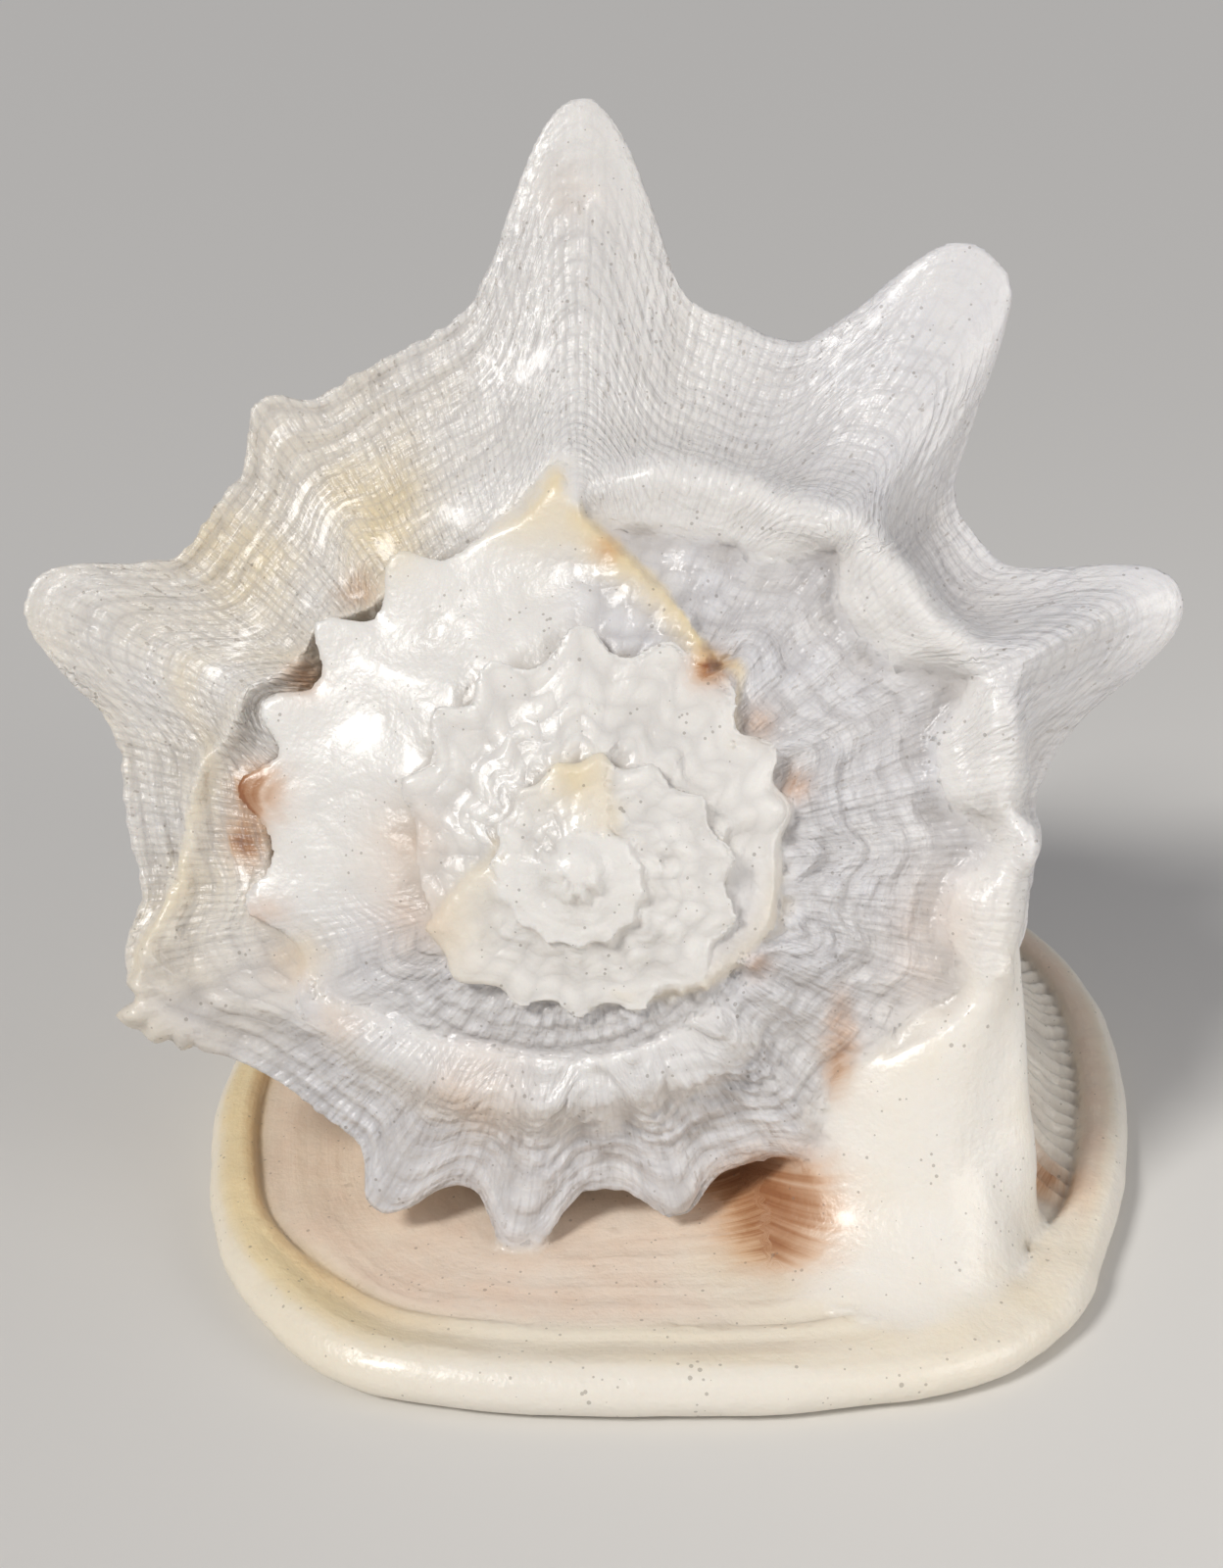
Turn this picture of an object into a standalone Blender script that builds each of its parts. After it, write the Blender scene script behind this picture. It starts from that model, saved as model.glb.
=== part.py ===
"""Queen helmet shell lying on its mouth, the spire towards -Y and a little up, the canal at +Y.

The shell is one grown piece. Its whorls are a cross-section swept along a widening spiral about the
shell's own axis, its shield and outer lip are a plate on the table, and its canal is a short curved
tube. They are united, the mouth is cut from below, and the foot of the rim is trimmed flat.
Sizes are in millimetres and degrees, and the mesh is made in metres.
"""
import math

import bmesh
import bpy
import numpy as np
from mathutils import Vector

MM = 0.001

# The shell's axis. The hub is the point of the axis at the level of the last shoulder but one.
HUB = np.array([-8.4, -57.2, 85.0])
AXIS_TILT = math.radians(22.0)

# Growth runs clockwise seen from the tip. An angle is counted in degrees from straight up on the last
# turn, so one turn earlier is 360 less. Each pair below is (growth angle, millimetres).
FIRST_ANGLE = -1600.0
LAST_ANGLE = 132.0
SHOULDER_RADIUS = [
    (-1600, 0.6), (-1500, 5), (-1400, 9), (-1317, 13), (-1210, 14), (-1130, 16.5), (-1067, 20), (-1014, 26),
    (-960, 29), (-908, 26), (-870, 26), (-830, 30), (-784, 34), (-750, 38), (-715, 42), (-680, 41),
    (-647, 38.5), (-613, 39), (-580, 43), (-540, 46), (-510, 50), (-477, 56), (-450, 62), (-420, 64.5),
    (-391, 66), (-363, 71), (-320, 79), (-285, 82), (-250, 80), (-215, 72), (-185, 67), (-150, 72),
    (-128, 76), (-112, 85), (-100, 88), (-80, 97), (-55, 104), (-30, 111), (-8, 117), (20, 117),
    (45, 111), (70, 104), (90, 97), (108, 95), (120, 103), (132, 112),
]
SHOULDER_LEVEL = [
    (-1600, 29), (-1500, 29), (-1400, 28.5), (-1210, 27), (-1067, 25), (-908, 21.5), (-784, 18.5),
    (-700, 16.5), (-613, 14), (-480, 7), (-363, 3), (-240, -1), (-150, -3), (-108, -6), (-40, -11), (30, -17), (80, -22),
    (132, -24),
]
# How far in from the shoulder of the turn before a whorl starts, and how far below that turn's skin.
SUTURE_INSET = [
    (-1600, 1), (-1000, 2), (-620, 2), (-500, 3), (-400, 3), (-300, 3), (-230, 5), (-190, 7), (-150, 8),
    (-115, 2), (-80, -1), (-20, 0), (5, 5), (30, 8), (132, 8),
]
SUTURE_DROP = [
    (-1600, 1), (-900, 2), (-700, 2.5), (-500, 3), (-400, 3), (-300, 3), (-240, 0), (-200, -1.5),
    (-140, -1.5), (-105, 1), (-80, 5), (-25, 5), (0, -1), (30, -3), (100, -3), (132, 0),
]
# Share of a spike's length by which the next turn's start stands further out where it meets the spike.
SUTURE_SCALLOP = [
    (-1600, 0.3), (-700, 0.5), (-250, 0.5), (-200, 0.1), (-110, 0.5), (-20, 0.5), (10, 1.0), (132, 1.0),
]
# Rolled band beside the start of a whorl: how high its crest stands over the earlier shoulder, and how
# far out from it. Where the height is well below 0 there is no band.
BAND_HEIGHT = [
    (-1600, -5), (-620, -6), (-400, -5), (-260, -2), (-200, 3), (-150, 3.5), (-120, 0), (-90, -9), (-25, -9),
    (5, 3), (35, 6), (100, 6), (132, 0),
]
BAND_PLACE = [(-1600, 3), (-250, 3), (-200, 0), (-150, 0), (-110, 3), (0, 5), (132, 5)]
BAND_WIDTH_SHARE = 0.065
# Inner slope of the band, as a share of the way from the whorl's start to the crest.
BAND_INNER_SHARE = 0.75
# Share of the ramp that is past the band, where the hollow begins.
HOLLOW_START = 0.25
RAMP_HOLLOW = [
    (-1600, 0), (-900, 0.6), (-700, 1.2), (-363, 1), (-250, 2), (-150, 1), (-60, 3), (0, 5), (40, 6),
    (80, 6), (132, 4),
]

NUCLEUS_RADIUS = 6.5
NUCLEUS_LEVEL = 25.5

# Horns of the last turn: growth angle, length, half-width along the shoulder, bluntness, lift.
HORNS = [
    (-64, 26, 12, 2.0, 0.10), (-35, 8, 7, 2.0, 0.10), (0, 41, 13, 1.6, 0.15), (34, 38, 14.5, 2.8, 0.25),
    (66, 33, 12.5, 1.9, 0.25),
]
# Shoulder spikes of the turns before, in the same five numbers.
SPIKES = [
    (-784, 5, 4.5, 2.2, 0), (-763, 6, 4.5, 2.2, 0), (-744, 6, 4.5, 2.2, 0), (-720, 7, 5, 2.2, 0),
    (-697, 7, 5, 2.2, 0), (-680, 6.5, 4.5, 2.2, 0), (-662, 6.5, 4.5, 2.2, 0), (-647, 5, 4.5, 2.2, 0),
    (-477, 7, 5.5, 2.4, 0), (-457, 8, 5.5, 2.4, 0), (-437, 8, 5.5, 2.4, 0), (-423, 8, 5, 2.4, 0),
    (-407, 8, 5, 2.4, 0), (-391, 8, 5.5, 2.4, 0.1), (-363, 6, 5, 2, 0.1), (-321, 8, 6.5, 2.2, 0.1),
    (-296, 8, 6.5, 2.2, 0.1), (-273, 8, 6.5, 2.2, 0.1), (-253, 8, 6.5, 2.2, 0.1), (-221, 9, 6.5, 2.4, 0),
    (-196, 9, 6.5, 2.4, 0), (-171, 13, 7.5, 2.6, 0), (-150, 11, 7, 2.6, 0), (-108, 14, 8, 2, 0.15),
]
# Small spikes nearer the tip come at even steps of growth.
FINE_SPIKE_ANGLES = np.arange(-1380, -840, 24.0)
FINE_SPIKE_SHARE = 0.12
FINE_SPIKE_HALF_WIDTH_SHARE = 0.13
# A spike runs this much further down the wall than across it.
SPIKE_WALL_STRETCH = 1.4

# Old outer lips that stayed as raised steps: angle at the shoulder, angle at the suture, height.
VARICES = [(-1067, -1033, 1.6), (-830, -790, 2.4), (-613, -555, 3.2), (-363, -305, 4.5), (-108, -28, 6.0)]
VARIX_LENGTH = 15.0
VARIX_SLANT = 0.6

# Blunt knobs in two rows on the back of the last turn: level below the shoulder, length, half-width.
KNOB_ROWS = [(44, 6.0, 8.0), (84, 4.0, 7.5)]
KNOB_ANGLES = np.arange(-90, 92, 24.0)
KNOB_RADIUS = 85.0

# Wall below the shoulder. Turns whose wall is covered by the next one have a short wall.
WALL_LENGTH = 172.0
WALL_TAPER = 0.9
WALL_TAPER_POWER = 1.6
WALL_SPACING = 1.5
EARLY_WALL_LENGTH = 22.0
EARLY_WALL_TAPER = 0.3
FULL_WALL_ANGLES = (-320, -250)
CORE_RADIUS = 0.4
CORE_DROP = 3.0
NARROWEST_RAMP = 2.0
SHOULDER_ROUNDING = 2

# Outline of the shield and outer lip on the table, from the hub, anticlockwise from the front. Each row
# is x, y, how high the plate rises towards the body, and how far in from the outline the rise starts.
RIM_OUTLINE = [
    (10, -70, 6, 32), (45, -69, 12, 30), (78, -62, 34, 27), (99, -45, 48, 20), (112, -18, 48, 15),
    (122, 12, 46, 14), (129, 48, 42, 14), (130, 86, 38, 14), (121, 120, 30, 14), (102, 148, 20, 14),
    (74, 168, 12, 14), (40, 178, 8, 14), (12, 168, 6, 14), (-12, 169, 8, 14), (-34, 157, 10, 14),
    (-53, 135, 10, 16), (-69, 106, 8, 18), (-81, 74, 6, 20), (-86, 38, 5, 22), (-82, 3, 4, 24),
    (-72, -30, 4, 26), (-50, -58, 5, 30), (-22, -68, 5, 32),
]
RIM_CENTRE = (24.0, 52.0)
MOUND_REACH = 40.0
# Section of the rim: distance in from the outline, height above the table.
RIM_TOP = [(0.0, 5.5), (1.0, 8.6), (3.5, 10.8), (7.0, 11.3), (11.0, 10.0), (14.5, 9.2), (19.0, 9.8)]
PLATE_DISTANCES = (24, 29, 34, 39, 44, 49, 54, 60)
PLATE_REACH = 0.9
RIM_FOOT = [(1.2, 2.4), (4.0, 0.3), (9.0, -0.7), (13.0, 0.4), (20.0, 2.2), (34.0, 3.0)]

# Ways through the shell, from the hub: x, y, height above the table, then half-widths.
MOUTH_WAY = [
    (64, -14, 4, 4, 9), (66, 12, 12, 8, 20), (62, 44, 17, 10.5, 27), (52, 80, 17, 10, 25),
    (37, 112, 15, 8.5, 20), (21, 138, 15, 7, 16), (12, 156, 20, 6.5, 14), (7, 170, 38, 6, 9),
    (5, 180, 60, 5.5, 8),
]
TOOTH_SPACING = 12.0
TOOTH_DEPTH = 2.6
# Distances along the way over which the teeth grow and fade.
TEETH_GROW = (14, 30)
TEETH_FADE = (130, 150)
CANAL_WAY = [(22, 110, 30, 18), (14, 134, 26, 18), (9, 153, 29, 17), (6, 166, 39, 15), (4, 173, 53, 12.5)]
# Ridge of callus that comes down from the last suture to the shield's front corner.
RIDGE_WAY = [
    (82, 10, 90, 4), (86.5, -3, 68, 4.5), (87.5, -9, 48, 5.5), (89, -15, 28, 6.5), (90, -18, 9, 7),
]
# Callus between that ridge and the turn before: x, how far back it goes, then y and height of its top,
# middle and foot.
CALLUS_STATIONS = [
    (34, 26, 0, 30, -14, 17, -30, 8), (50, 26, -8, 38, -22, 22, -38, 9), (70, 22, -9, 54, -20, 32, -37, 10),
    (82, 10, -6, 63, -16, 38, -30, 10), (90, 2, -4, 56, -12, 32, -22, 9),
]
CALLUS_FLOOR = 6.0

ANGLE_STEP = 2.0
RAMP_POINTS = 20
WALL_POINTS = 40
RIM_POINTS = 150
MOUTH_RINGS = 110
MOUTH_SIDES = 24
LIMB_RINGS = 20
LIMB_SIDES = 28
CALLUS_RINGS = 24
CALLUS_POINTS = 9
VOXEL = 1.9
SMOOTH_ROUNDS = 3
TRIANGLES = 9700

SHELL_COLOUR = (0.80, 0.76, 0.70, 1.0)
SHELL_ROUGHNESS = 0.3


def smooth_curve(pairs, places):
    """Value at each place of the smooth curve through (place, value) pairs, held level past its ends."""
    xs = np.array([p[0] for p in pairs], float)
    ys = np.array([p[1] for p in pairs], float)
    rises = np.diff(ys) / np.diff(xs)
    slopes = np.concatenate([[0.0], (rises[:-1] + rises[1:]) / 2, [0.0]])
    places = np.clip(places, xs[0], xs[-1])
    k = np.clip(np.searchsorted(xs, places, side="right") - 1, 0, len(xs) - 2)
    gap = xs[k + 1] - xs[k]
    t = (places - xs[k]) / gap
    return (
        ys[k] * (1 + 2 * t) * (1 - t) ** 2
        + slopes[k] * gap * t * (1 - t) ** 2
        + ys[k + 1] * t * t * (3 - 2 * t)
        + slopes[k + 1] * gap * t * t * (t - 1)
    )


def smooth_step(value, start, end):
    t = np.clip((value - start) / (end - start), 0, 1)
    return t * t * (3 - 2 * t)


def from_axis(radius, angle, level):
    """World point in millimetres for a radius, clockwise angle and level along the shell's axis."""
    across = radius * np.sin(np.radians(angle))
    upward = radius * np.cos(np.radians(angle))
    sine = math.sin(AXIS_TILT)
    cosine = math.cos(AXIS_TILT)
    return np.stack(
        [
            HUB[0] + across,
            HUB[1] + upward * sine - level * cosine,
            HUB[2] + upward * cosine + level * sine,
        ],
        axis=-1,
    )


def add_mesh(name, points, faces):
    """Object from points in millimetres, with its faces turned outwards."""
    mesh = bpy.data.meshes.new(name)
    mesh.from_pydata([tuple(p) for p in np.asarray(points) * MM], [], faces)
    box = bmesh.new()
    box.from_mesh(mesh)
    bmesh.ops.recalc_face_normals(box, faces=box.faces)
    box.to_mesh(mesh)
    box.free()
    body = bpy.data.objects.new(name, mesh)
    PARTS.objects.link(body)
    return body


def loft(name, rings):
    """Closed body from rings of equal count, with an end face on the first and last."""
    rings = np.asarray(rings)
    count = rings.shape[1]
    faces = []
    for i in range(len(rings) - 1):
        for j in range(count):
            k = (j + 1) % count
            faces.append((i * count + j, i * count + k, (i + 1) * count + k, (i + 1) * count + j))
    last = (len(rings) - 1) * count
    faces.append(tuple(range(count)))
    faces.append(tuple(last + j for j in reversed(range(count))))
    return add_mesh(name, rings.reshape(-1, 3), faces)


def all_spikes():
    fine_radius = smooth_curve(SHOULDER_RADIUS, FINE_SPIKE_ANGLES)
    fine = [
        (angle, FINE_SPIKE_SHARE * radius, FINE_SPIKE_HALF_WIDTH_SHARE * radius, 2.0, 0.0)
        for angle, radius in zip(FINE_SPIKE_ANGLES, fine_radius)
    ]
    return HORNS + SPIKES + fine


def spike_push(angles, along):
    """Outward and tipward push of every horn, spike and knob, where along runs from ramp to wall."""
    out = np.zeros(np.broadcast_shapes(angles.shape, along.shape))
    lift = np.zeros_like(out)
    for angle, length, half_width, bluntness, rise in all_spikes():
        own_radius = smooth_curve(SHOULDER_RADIUS, angle)
        across = np.abs(np.radians(angles - angle) * own_radius) / half_width
        depth = along / (half_width * np.where(along > 0, SPIKE_WALL_STRETCH, 1.0))
        push = length * np.exp(-(across**bluntness) - depth**2)
        out += push
        lift += push * rise
    for row_depth, length, half_width in KNOB_ROWS:
        for angle in KNOB_ANGLES:
            arc = np.radians(angles - angle) * KNOB_RADIUS
            out += length * np.exp(-((arc / half_width) ** 2) - ((along - row_depth) / half_width) ** 2)
    return out, lift


def varix_height(angles, share, radii):
    """Height of the old lips, where share runs from 0 at the whorl's start to 1 at its shoulder."""
    height = np.zeros(np.broadcast_shapes(angles.shape, share.shape))
    for at_shoulder, at_suture, rise in VARICES:
        edge = at_suture + (at_shoulder - at_suture) * share**VARIX_SLANT
        before = np.radians(edge - angles) * radii
        height += np.where(before >= 0, rise * np.exp(-((before / VARIX_LENGTH) ** 2)), 0)
    return height


def whorl_ramps(angles, radius, level):
    """Radii and levels of the ramps, each started on the skin of the turn before."""
    share = np.linspace(0, 1, RAMP_POINTS)
    turn = round(360 / ANGLE_STEP)
    tip_push, _ = spike_push(angles, np.zeros(1))
    inset = smooth_curve(SUTURE_INSET, angles)
    drop = smooth_curve(SUTURE_DROP, angles)
    scallop = smooth_curve(SUTURE_SCALLOP, angles)
    band = smooth_curve(BAND_HEIGHT, angles)
    place = smooth_curve(BAND_PLACE, angles)
    hollow = smooth_curve(RAMP_HOLLOW, angles)
    past_band = np.clip((share - HOLLOW_START) / (1 - HOLLOW_START), 0, 1)
    old_lips = varix_height(angles[:, None], share[None, :], radius[:, None])
    radii = np.zeros((len(angles), RAMP_POINTS))
    levels = np.zeros_like(radii)
    for i, shoulder in enumerate(radius):
        start = CORE_RADIUS
        start_level = level[i]
        crest = 0.0
        if i >= turn:
            k = i - turn
            start = max(radius[k] - inset[i] + scallop[i] * tip_push[k], CORE_RADIUS)
            start = min(start, shoulder - NARROWEST_RAMP)
            start_level = np.interp(start, radii[k], levels[k]) - drop[i]
            crest = radius[k] + place[i]
        across = start + (shoulder - start) * share
        slope = start_level + (level[i] - start_level) * share - hollow[i] * 4 * past_band * (1 - past_band)
        needed = level[max(i - turn, 0)] + band[i] - np.interp(crest, across, slope)
        outer_width = BAND_WIDTH_SHARE * crest + 1
        inner_width = max(BAND_INNER_SHARE * (crest - start), outer_width / 2)
        width = np.where(across < crest, inner_width, outer_width)
        roll = max(needed, 0) * np.exp(-(((across - crest) / width) ** 2))
        push, lift = spike_push(angles[i : i + 1], across - shoulder)
        radii[i] = across + push
        levels[i] = slope + roll + old_lips[i] + lift
    return radii, levels


def whorl_sections():
    """Rings of points, one for each step of growth, as the closed outline of the whorl to the axis."""
    angles = np.arange(FIRST_ANGLE, LAST_ANGLE + ANGLE_STEP / 2, ANGLE_STEP)
    radius = smooth_curve(SHOULDER_RADIUS, angles)
    level = smooth_curve(SHOULDER_LEVEL, angles)
    ramp_radii, ramp_levels = whorl_ramps(angles, radius, level)

    down = np.linspace(0, 1, WALL_POINTS + 1)[None, 1:] ** WALL_SPACING
    full = smooth_step(angles, *FULL_WALL_ANGLES)[:, None]
    length = EARLY_WALL_LENGTH + (WALL_LENGTH - EARLY_WALL_LENGTH) * full
    taper = WALL_TAPER * full * down**WALL_TAPER_POWER + EARLY_WALL_TAPER * (1 - full) * down
    push, lift = spike_push(angles[:, None], length * down)
    old_lips = varix_height(angles[:, None], np.ones((1, 1)), radius[:, None]) * (1 - down)
    wall_radii = radius[:, None] * (1 - taper) + push + old_lips
    wall_levels = level[:, None] - length * down + lift

    radii = np.concatenate([ramp_radii, wall_radii], axis=1)
    levels = np.concatenate([ramp_levels, wall_levels], axis=1)
    for _ in range(SHOULDER_ROUNDING):
        radii[:, 1:-1] = (radii[:, :-2] + 2 * radii[:, 1:-1] + radii[:, 2:]) / 4
        levels[:, 1:-1] = (levels[:, :-2] + 2 * levels[:, 1:-1] + levels[:, 2:]) / 4
    core = np.full((len(angles), 1), CORE_RADIUS)
    radii = np.concatenate([core, radii, core], axis=1)
    levels = np.concatenate([ramp_levels[:, :1] - CORE_DROP, levels, wall_levels[:, -1:]], axis=1)
    return from_axis(radii, np.broadcast_to(angles[:, None], radii.shape), levels)


def closed_outline(count):
    """Points round the rim's outline, with the plate's rise and where it starts at each."""
    knots = np.array(RIM_OUTLINE + RIM_OUTLINE[:1], float)
    places = np.arange(len(knots))
    around = np.linspace(0, len(RIM_OUTLINE), count, endpoint=False)
    columns = []
    for values in knots.T:
        wrapped = [(-1.0, values[-2]), *zip(places, values), (float(len(places)), values[1])]
        columns.append(smooth_curve(wrapped, around))
    return np.stack(columns, axis=1)


def rim_plate():
    """Shield and lip: a plate with a rolled rim whose top rises towards the body."""
    edge = closed_outline(RIM_POINTS)
    centre = np.array(RIM_CENTRE)
    inward = centre - edge[:, :2]
    reach = np.linalg.norm(inward, axis=1, keepdims=True)
    inward = inward / reach
    plate = [(distance, RIM_TOP[-1][1]) for distance in PLATE_DISTANCES]
    sections = list(reversed(RIM_FOOT)) + RIM_TOP + plate
    on_foot = len(RIM_FOOT)
    rings = []
    for k, (distance, height) in enumerate(sections):
        flat = edge[:, :2] + inward * np.minimum(distance, reach * PLATE_REACH)
        start = edge[:, 3:]
        share = smooth_step(distance, start, start + MOUND_REACH) if k >= on_foot else 0.0
        z = height + edge[:, 2:3] * share
        rings.append(np.concatenate([flat + HUB[:2], z], axis=1))
    return loft("rim_plate", rings)


def way_points(way, count):
    """Smooth points along a way, with its other columns carried along."""
    table = np.array(way, float)
    places = np.arange(len(table))
    steps = np.linspace(0, len(table) - 1, count)
    return np.stack([smooth_curve(list(zip(places, c)), steps) for c in table.T], axis=1)


def tube(name, way, widths, heights, sides, lean):
    """Closed tube of oval section along a way, its ends capped, narrower on one side where it leans."""
    ahead = np.gradient(way, axis=0)
    ahead /= np.linalg.norm(ahead, axis=1, keepdims=True)
    side = np.cross(ahead, [0.0, 0.0, 1.0])
    side /= np.linalg.norm(side, axis=1, keepdims=True)
    upward = np.cross(side, ahead)
    turn = np.linspace(0, 2 * math.pi, sides, endpoint=False)
    rings = []
    for i in range(len(way)):
        width = widths[i] - lean[i] * np.maximum(np.cos(turn), 0)
        outward = np.outer(width * np.cos(turn), side[i])
        rings.append(way[i] + outward + np.outer(heights[i] * np.sin(turn), upward[i]))
    return loft(name, rings)


def nucleus():
    """Rounded first turns at the very tip."""
    ball = bmesh.new()
    bmesh.ops.create_uvsphere(ball, u_segments=24, v_segments=16, radius=NUCLEUS_RADIUS)
    centre = from_axis(0.0, 0.0, NUCLEUS_LEVEL)
    points = [np.array(v.co) + centre for v in ball.verts]
    faces = [[v.index for v in f.verts] for f in ball.faces]
    ball.free()
    return add_mesh("nucleus", points, faces)


def round_limb(name, way):
    """Closed round tube along a way that is given from the hub."""
    points = way_points(way, LIMB_RINGS)
    place = points[:, :3] + [HUB[0], HUB[1], 0]
    return tube(name, place, points[:, 3], points[:, 3], LIMB_SIDES, np.zeros(LIMB_RINGS))


def callus():
    """Closed body whose front curves from the turn before down to the shield."""
    rings = []
    for row in way_points(CALLUS_STATIONS, CALLUS_RINGS):
        x, back_y = row[:2]
        front = way_points([row[2:4], row[4:6], row[6:8]], CALLUS_POINTS)
        back = [(back_y, CALLUS_FLOOR), (back_y, row[3])]
        rings.append([(HUB[0] + x, HUB[1] + y, z) for y, z in [*front, *back]])
    return loft("callus", rings)


def mouth_cutter():
    """The mouth's slot and the bore of the canal, scalloped on the lip's side so that teeth stand in it."""
    way = way_points(MOUTH_WAY, MOUTH_RINGS)
    place = way[:, :3] + [HUB[0], HUB[1], 0]
    run = np.concatenate([[0], np.cumsum(np.linalg.norm(np.diff(place, axis=0), axis=1))])
    inner = smooth_step(run, *TEETH_GROW) * (1 - smooth_step(run, *TEETH_FADE))
    teeth = TOOTH_DEPTH * inner * (0.5 + 0.5 * np.cos(2 * math.pi * run / TOOTH_SPACING))
    cutter = tube("mouth_cutter", place, way[:, 3], way[:, 4], MOUTH_SIDES, teeth)
    PARTS.objects.unlink(cutter)
    CUTTERS.objects.link(cutter)
    cutter.hide_render = True
    cutter.display_type = "WIRE"
    return cutter


def apply_modifier(body, kind, **settings):
    modifier = body.modifiers.new(kind.title(), kind)
    for name, value in settings.items():
        setattr(modifier, name, value)
    bpy.ops.object.select_all(action="DESELECT")
    bpy.context.view_layer.objects.active = body
    body.select_set(True)
    bpy.ops.object.modifier_apply(modifier=modifier.name)


def unite(bodies, name):
    """The bodies grown into one skin."""
    bpy.ops.object.select_all(action="DESELECT")
    for body in bodies:
        body.select_set(True)
    bpy.context.view_layer.objects.active = bodies[0]
    bpy.ops.object.join()
    body = bodies[0]
    body.name = name
    body.data.name = name
    apply_modifier(body, "REMESH", mode="VOXEL", voxel_size=VOXEL * MM)
    apply_modifier(body, "SMOOTH", factor=0.5, iterations=SMOOTH_ROUNDS)
    return body


def trim_foot(body):
    """Cuts the rim's foot flat at the table, so that the shell rests on a face."""
    skin = bmesh.new()
    skin.from_mesh(body.data)
    everything = skin.verts[:] + skin.edges[:] + skin.faces[:]
    cut = bmesh.ops.bisect_plane(
        skin,
        geom=everything,
        dist=1e-6,
        plane_co=Vector((0, 0, 0)),
        plane_no=Vector((0, 0, -1)),
        clear_outer=True,
    )
    rim_edges = [e for e in cut["geom_cut"] if isinstance(e, bmesh.types.BMEdge)]
    bmesh.ops.triangle_fill(skin, edges=rim_edges, use_beauty=True)
    bmesh.ops.recalc_face_normals(skin, faces=skin.faces)
    skin.to_mesh(body.data)
    skin.free()


def shell_material():
    material = bpy.data.materials.new("shell_lime")
    material.use_nodes = True
    surface = material.node_tree.nodes["Principled BSDF"]
    surface.inputs["Base Color"].default_value = SHELL_COLOUR
    surface.inputs["Roughness"].default_value = SHELL_ROUGHNESS
    surface.inputs["Metallic"].default_value = 0.0
    return material


def collection(name):
    made = bpy.data.collections.new(name)
    bpy.context.scene.collection.children.link(made)
    return made


for old in list(bpy.data.objects):
    bpy.data.objects.remove(old)
PARTS = collection("queen_helmet_shell")
CUTTERS = collection("cutters")

whorls = loft("whorls", whorl_sections())
limbs = [round_limb("canal", CANAL_WAY), round_limb("ridge", RIDGE_WAY)]
shell = unite([whorls, nucleus(), rim_plate(), callus(), *limbs], "shell")
apply_modifier(shell, "BOOLEAN", operation="DIFFERENCE", object=mouth_cutter(), solver="EXACT")
apply_modifier(shell, "DECIMATE", ratio=TRIANGLES / (2 * len(shell.data.polygons)))
trim_foot(shell)
shell.data.materials.clear()
shell.data.materials.append(shell_material())
shell.data.shade_smooth()
shell.data.set_sharp_from_angle(angle=math.radians(40))
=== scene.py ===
"""Queen helmet shell, grown by the same law as the part, at a finer step and with its fine relief.

Sizes are in millimetres and degrees, and the mesh is in metres. The whorls' section is swept along the
spiral, the shield, callus and canal are added, and all are grown into one skin. Each point of that skin
then looks up how old it is and where on the whorl it lies. The relief and the colours follow from that.
"""
import math

import bpy
import numpy as np
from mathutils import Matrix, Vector, kdtree


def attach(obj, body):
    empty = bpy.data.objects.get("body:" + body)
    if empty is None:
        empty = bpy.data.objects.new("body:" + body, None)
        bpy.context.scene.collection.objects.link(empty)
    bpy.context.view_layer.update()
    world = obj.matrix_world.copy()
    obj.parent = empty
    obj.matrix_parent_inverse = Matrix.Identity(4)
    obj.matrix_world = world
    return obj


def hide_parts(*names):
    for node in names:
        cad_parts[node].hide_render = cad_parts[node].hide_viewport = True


MM = 0.001

# The shell's axis. The hub is the point of the axis at the level of the last shoulder but one.
HUB = np.array([-8.4, -57.2, 85.0])
AXIS_TILT = math.radians(22.0)

# Growth runs clockwise seen from the tip. An angle is counted in degrees from straight up on the last
# turn, so one turn earlier is 360 less. Each pair below is (growth angle, millimetres).
FIRST_ANGLE = -1440.0
LAST_ANGLE = 132.0
SHOULDER_RADIUS = [
    (-1440, 7.5), (-1400, 9.5), (-1317, 13), (-1210, 14), (-1130, 16.5), (-1067, 20), (-1014, 26),
    (-960, 29), (-908, 26), (-870, 26), (-830, 30), (-784, 34), (-750, 38), (-715, 42), (-680, 41),
    (-647, 38.5), (-613, 39), (-580, 43), (-540, 46), (-510, 50), (-477, 56), (-450, 62), (-420, 64.5),
    (-391, 66), (-363, 71), (-320, 79), (-285, 82), (-250, 80), (-215, 72), (-185, 67), (-150, 72),
    (-128, 76), (-112, 85), (-100, 88), (-80, 97), (-55, 104), (-30, 111), (-8, 117), (20, 117),
    (45, 111), (70, 104), (90, 97), (108, 95), (120, 103), (132, 112),
]
SHOULDER_LEVEL = [
    (-1440, 28.5), (-1400, 28.5), (-1210, 27), (-1067, 25), (-908, 21.5), (-784, 18.5),
    (-700, 16.5), (-613, 14), (-480, 7), (-363, 3), (-240, -1), (-150, -3), (-108, -6), (-40, -11),
    (30, -17), (80, -22), (132, -24),
]
# How far in from the shoulder of the turn before a whorl starts, and how far below that turn's skin.
SUTURE_INSET = [
    (-1600, 1), (-1000, 2), (-620, 2), (-500, 3), (-400, 3), (-300, 3), (-230, 5), (-190, 7), (-150, 8),
    (-115, 2), (-80, -1), (-20, 0), (5, 3), (30, 4), (132, 4),
]
SUTURE_DROP = [
    (-1600, 1), (-900, 2), (-700, 2.5), (-500, 3), (-400, 3), (-300, 3), (-240, 0), (-200, -1.5),
    (-140, -1.5), (-105, 1), (-80, 5), (-25, 5), (0, -1), (30, -3), (100, -3), (132, 0),
]
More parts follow.
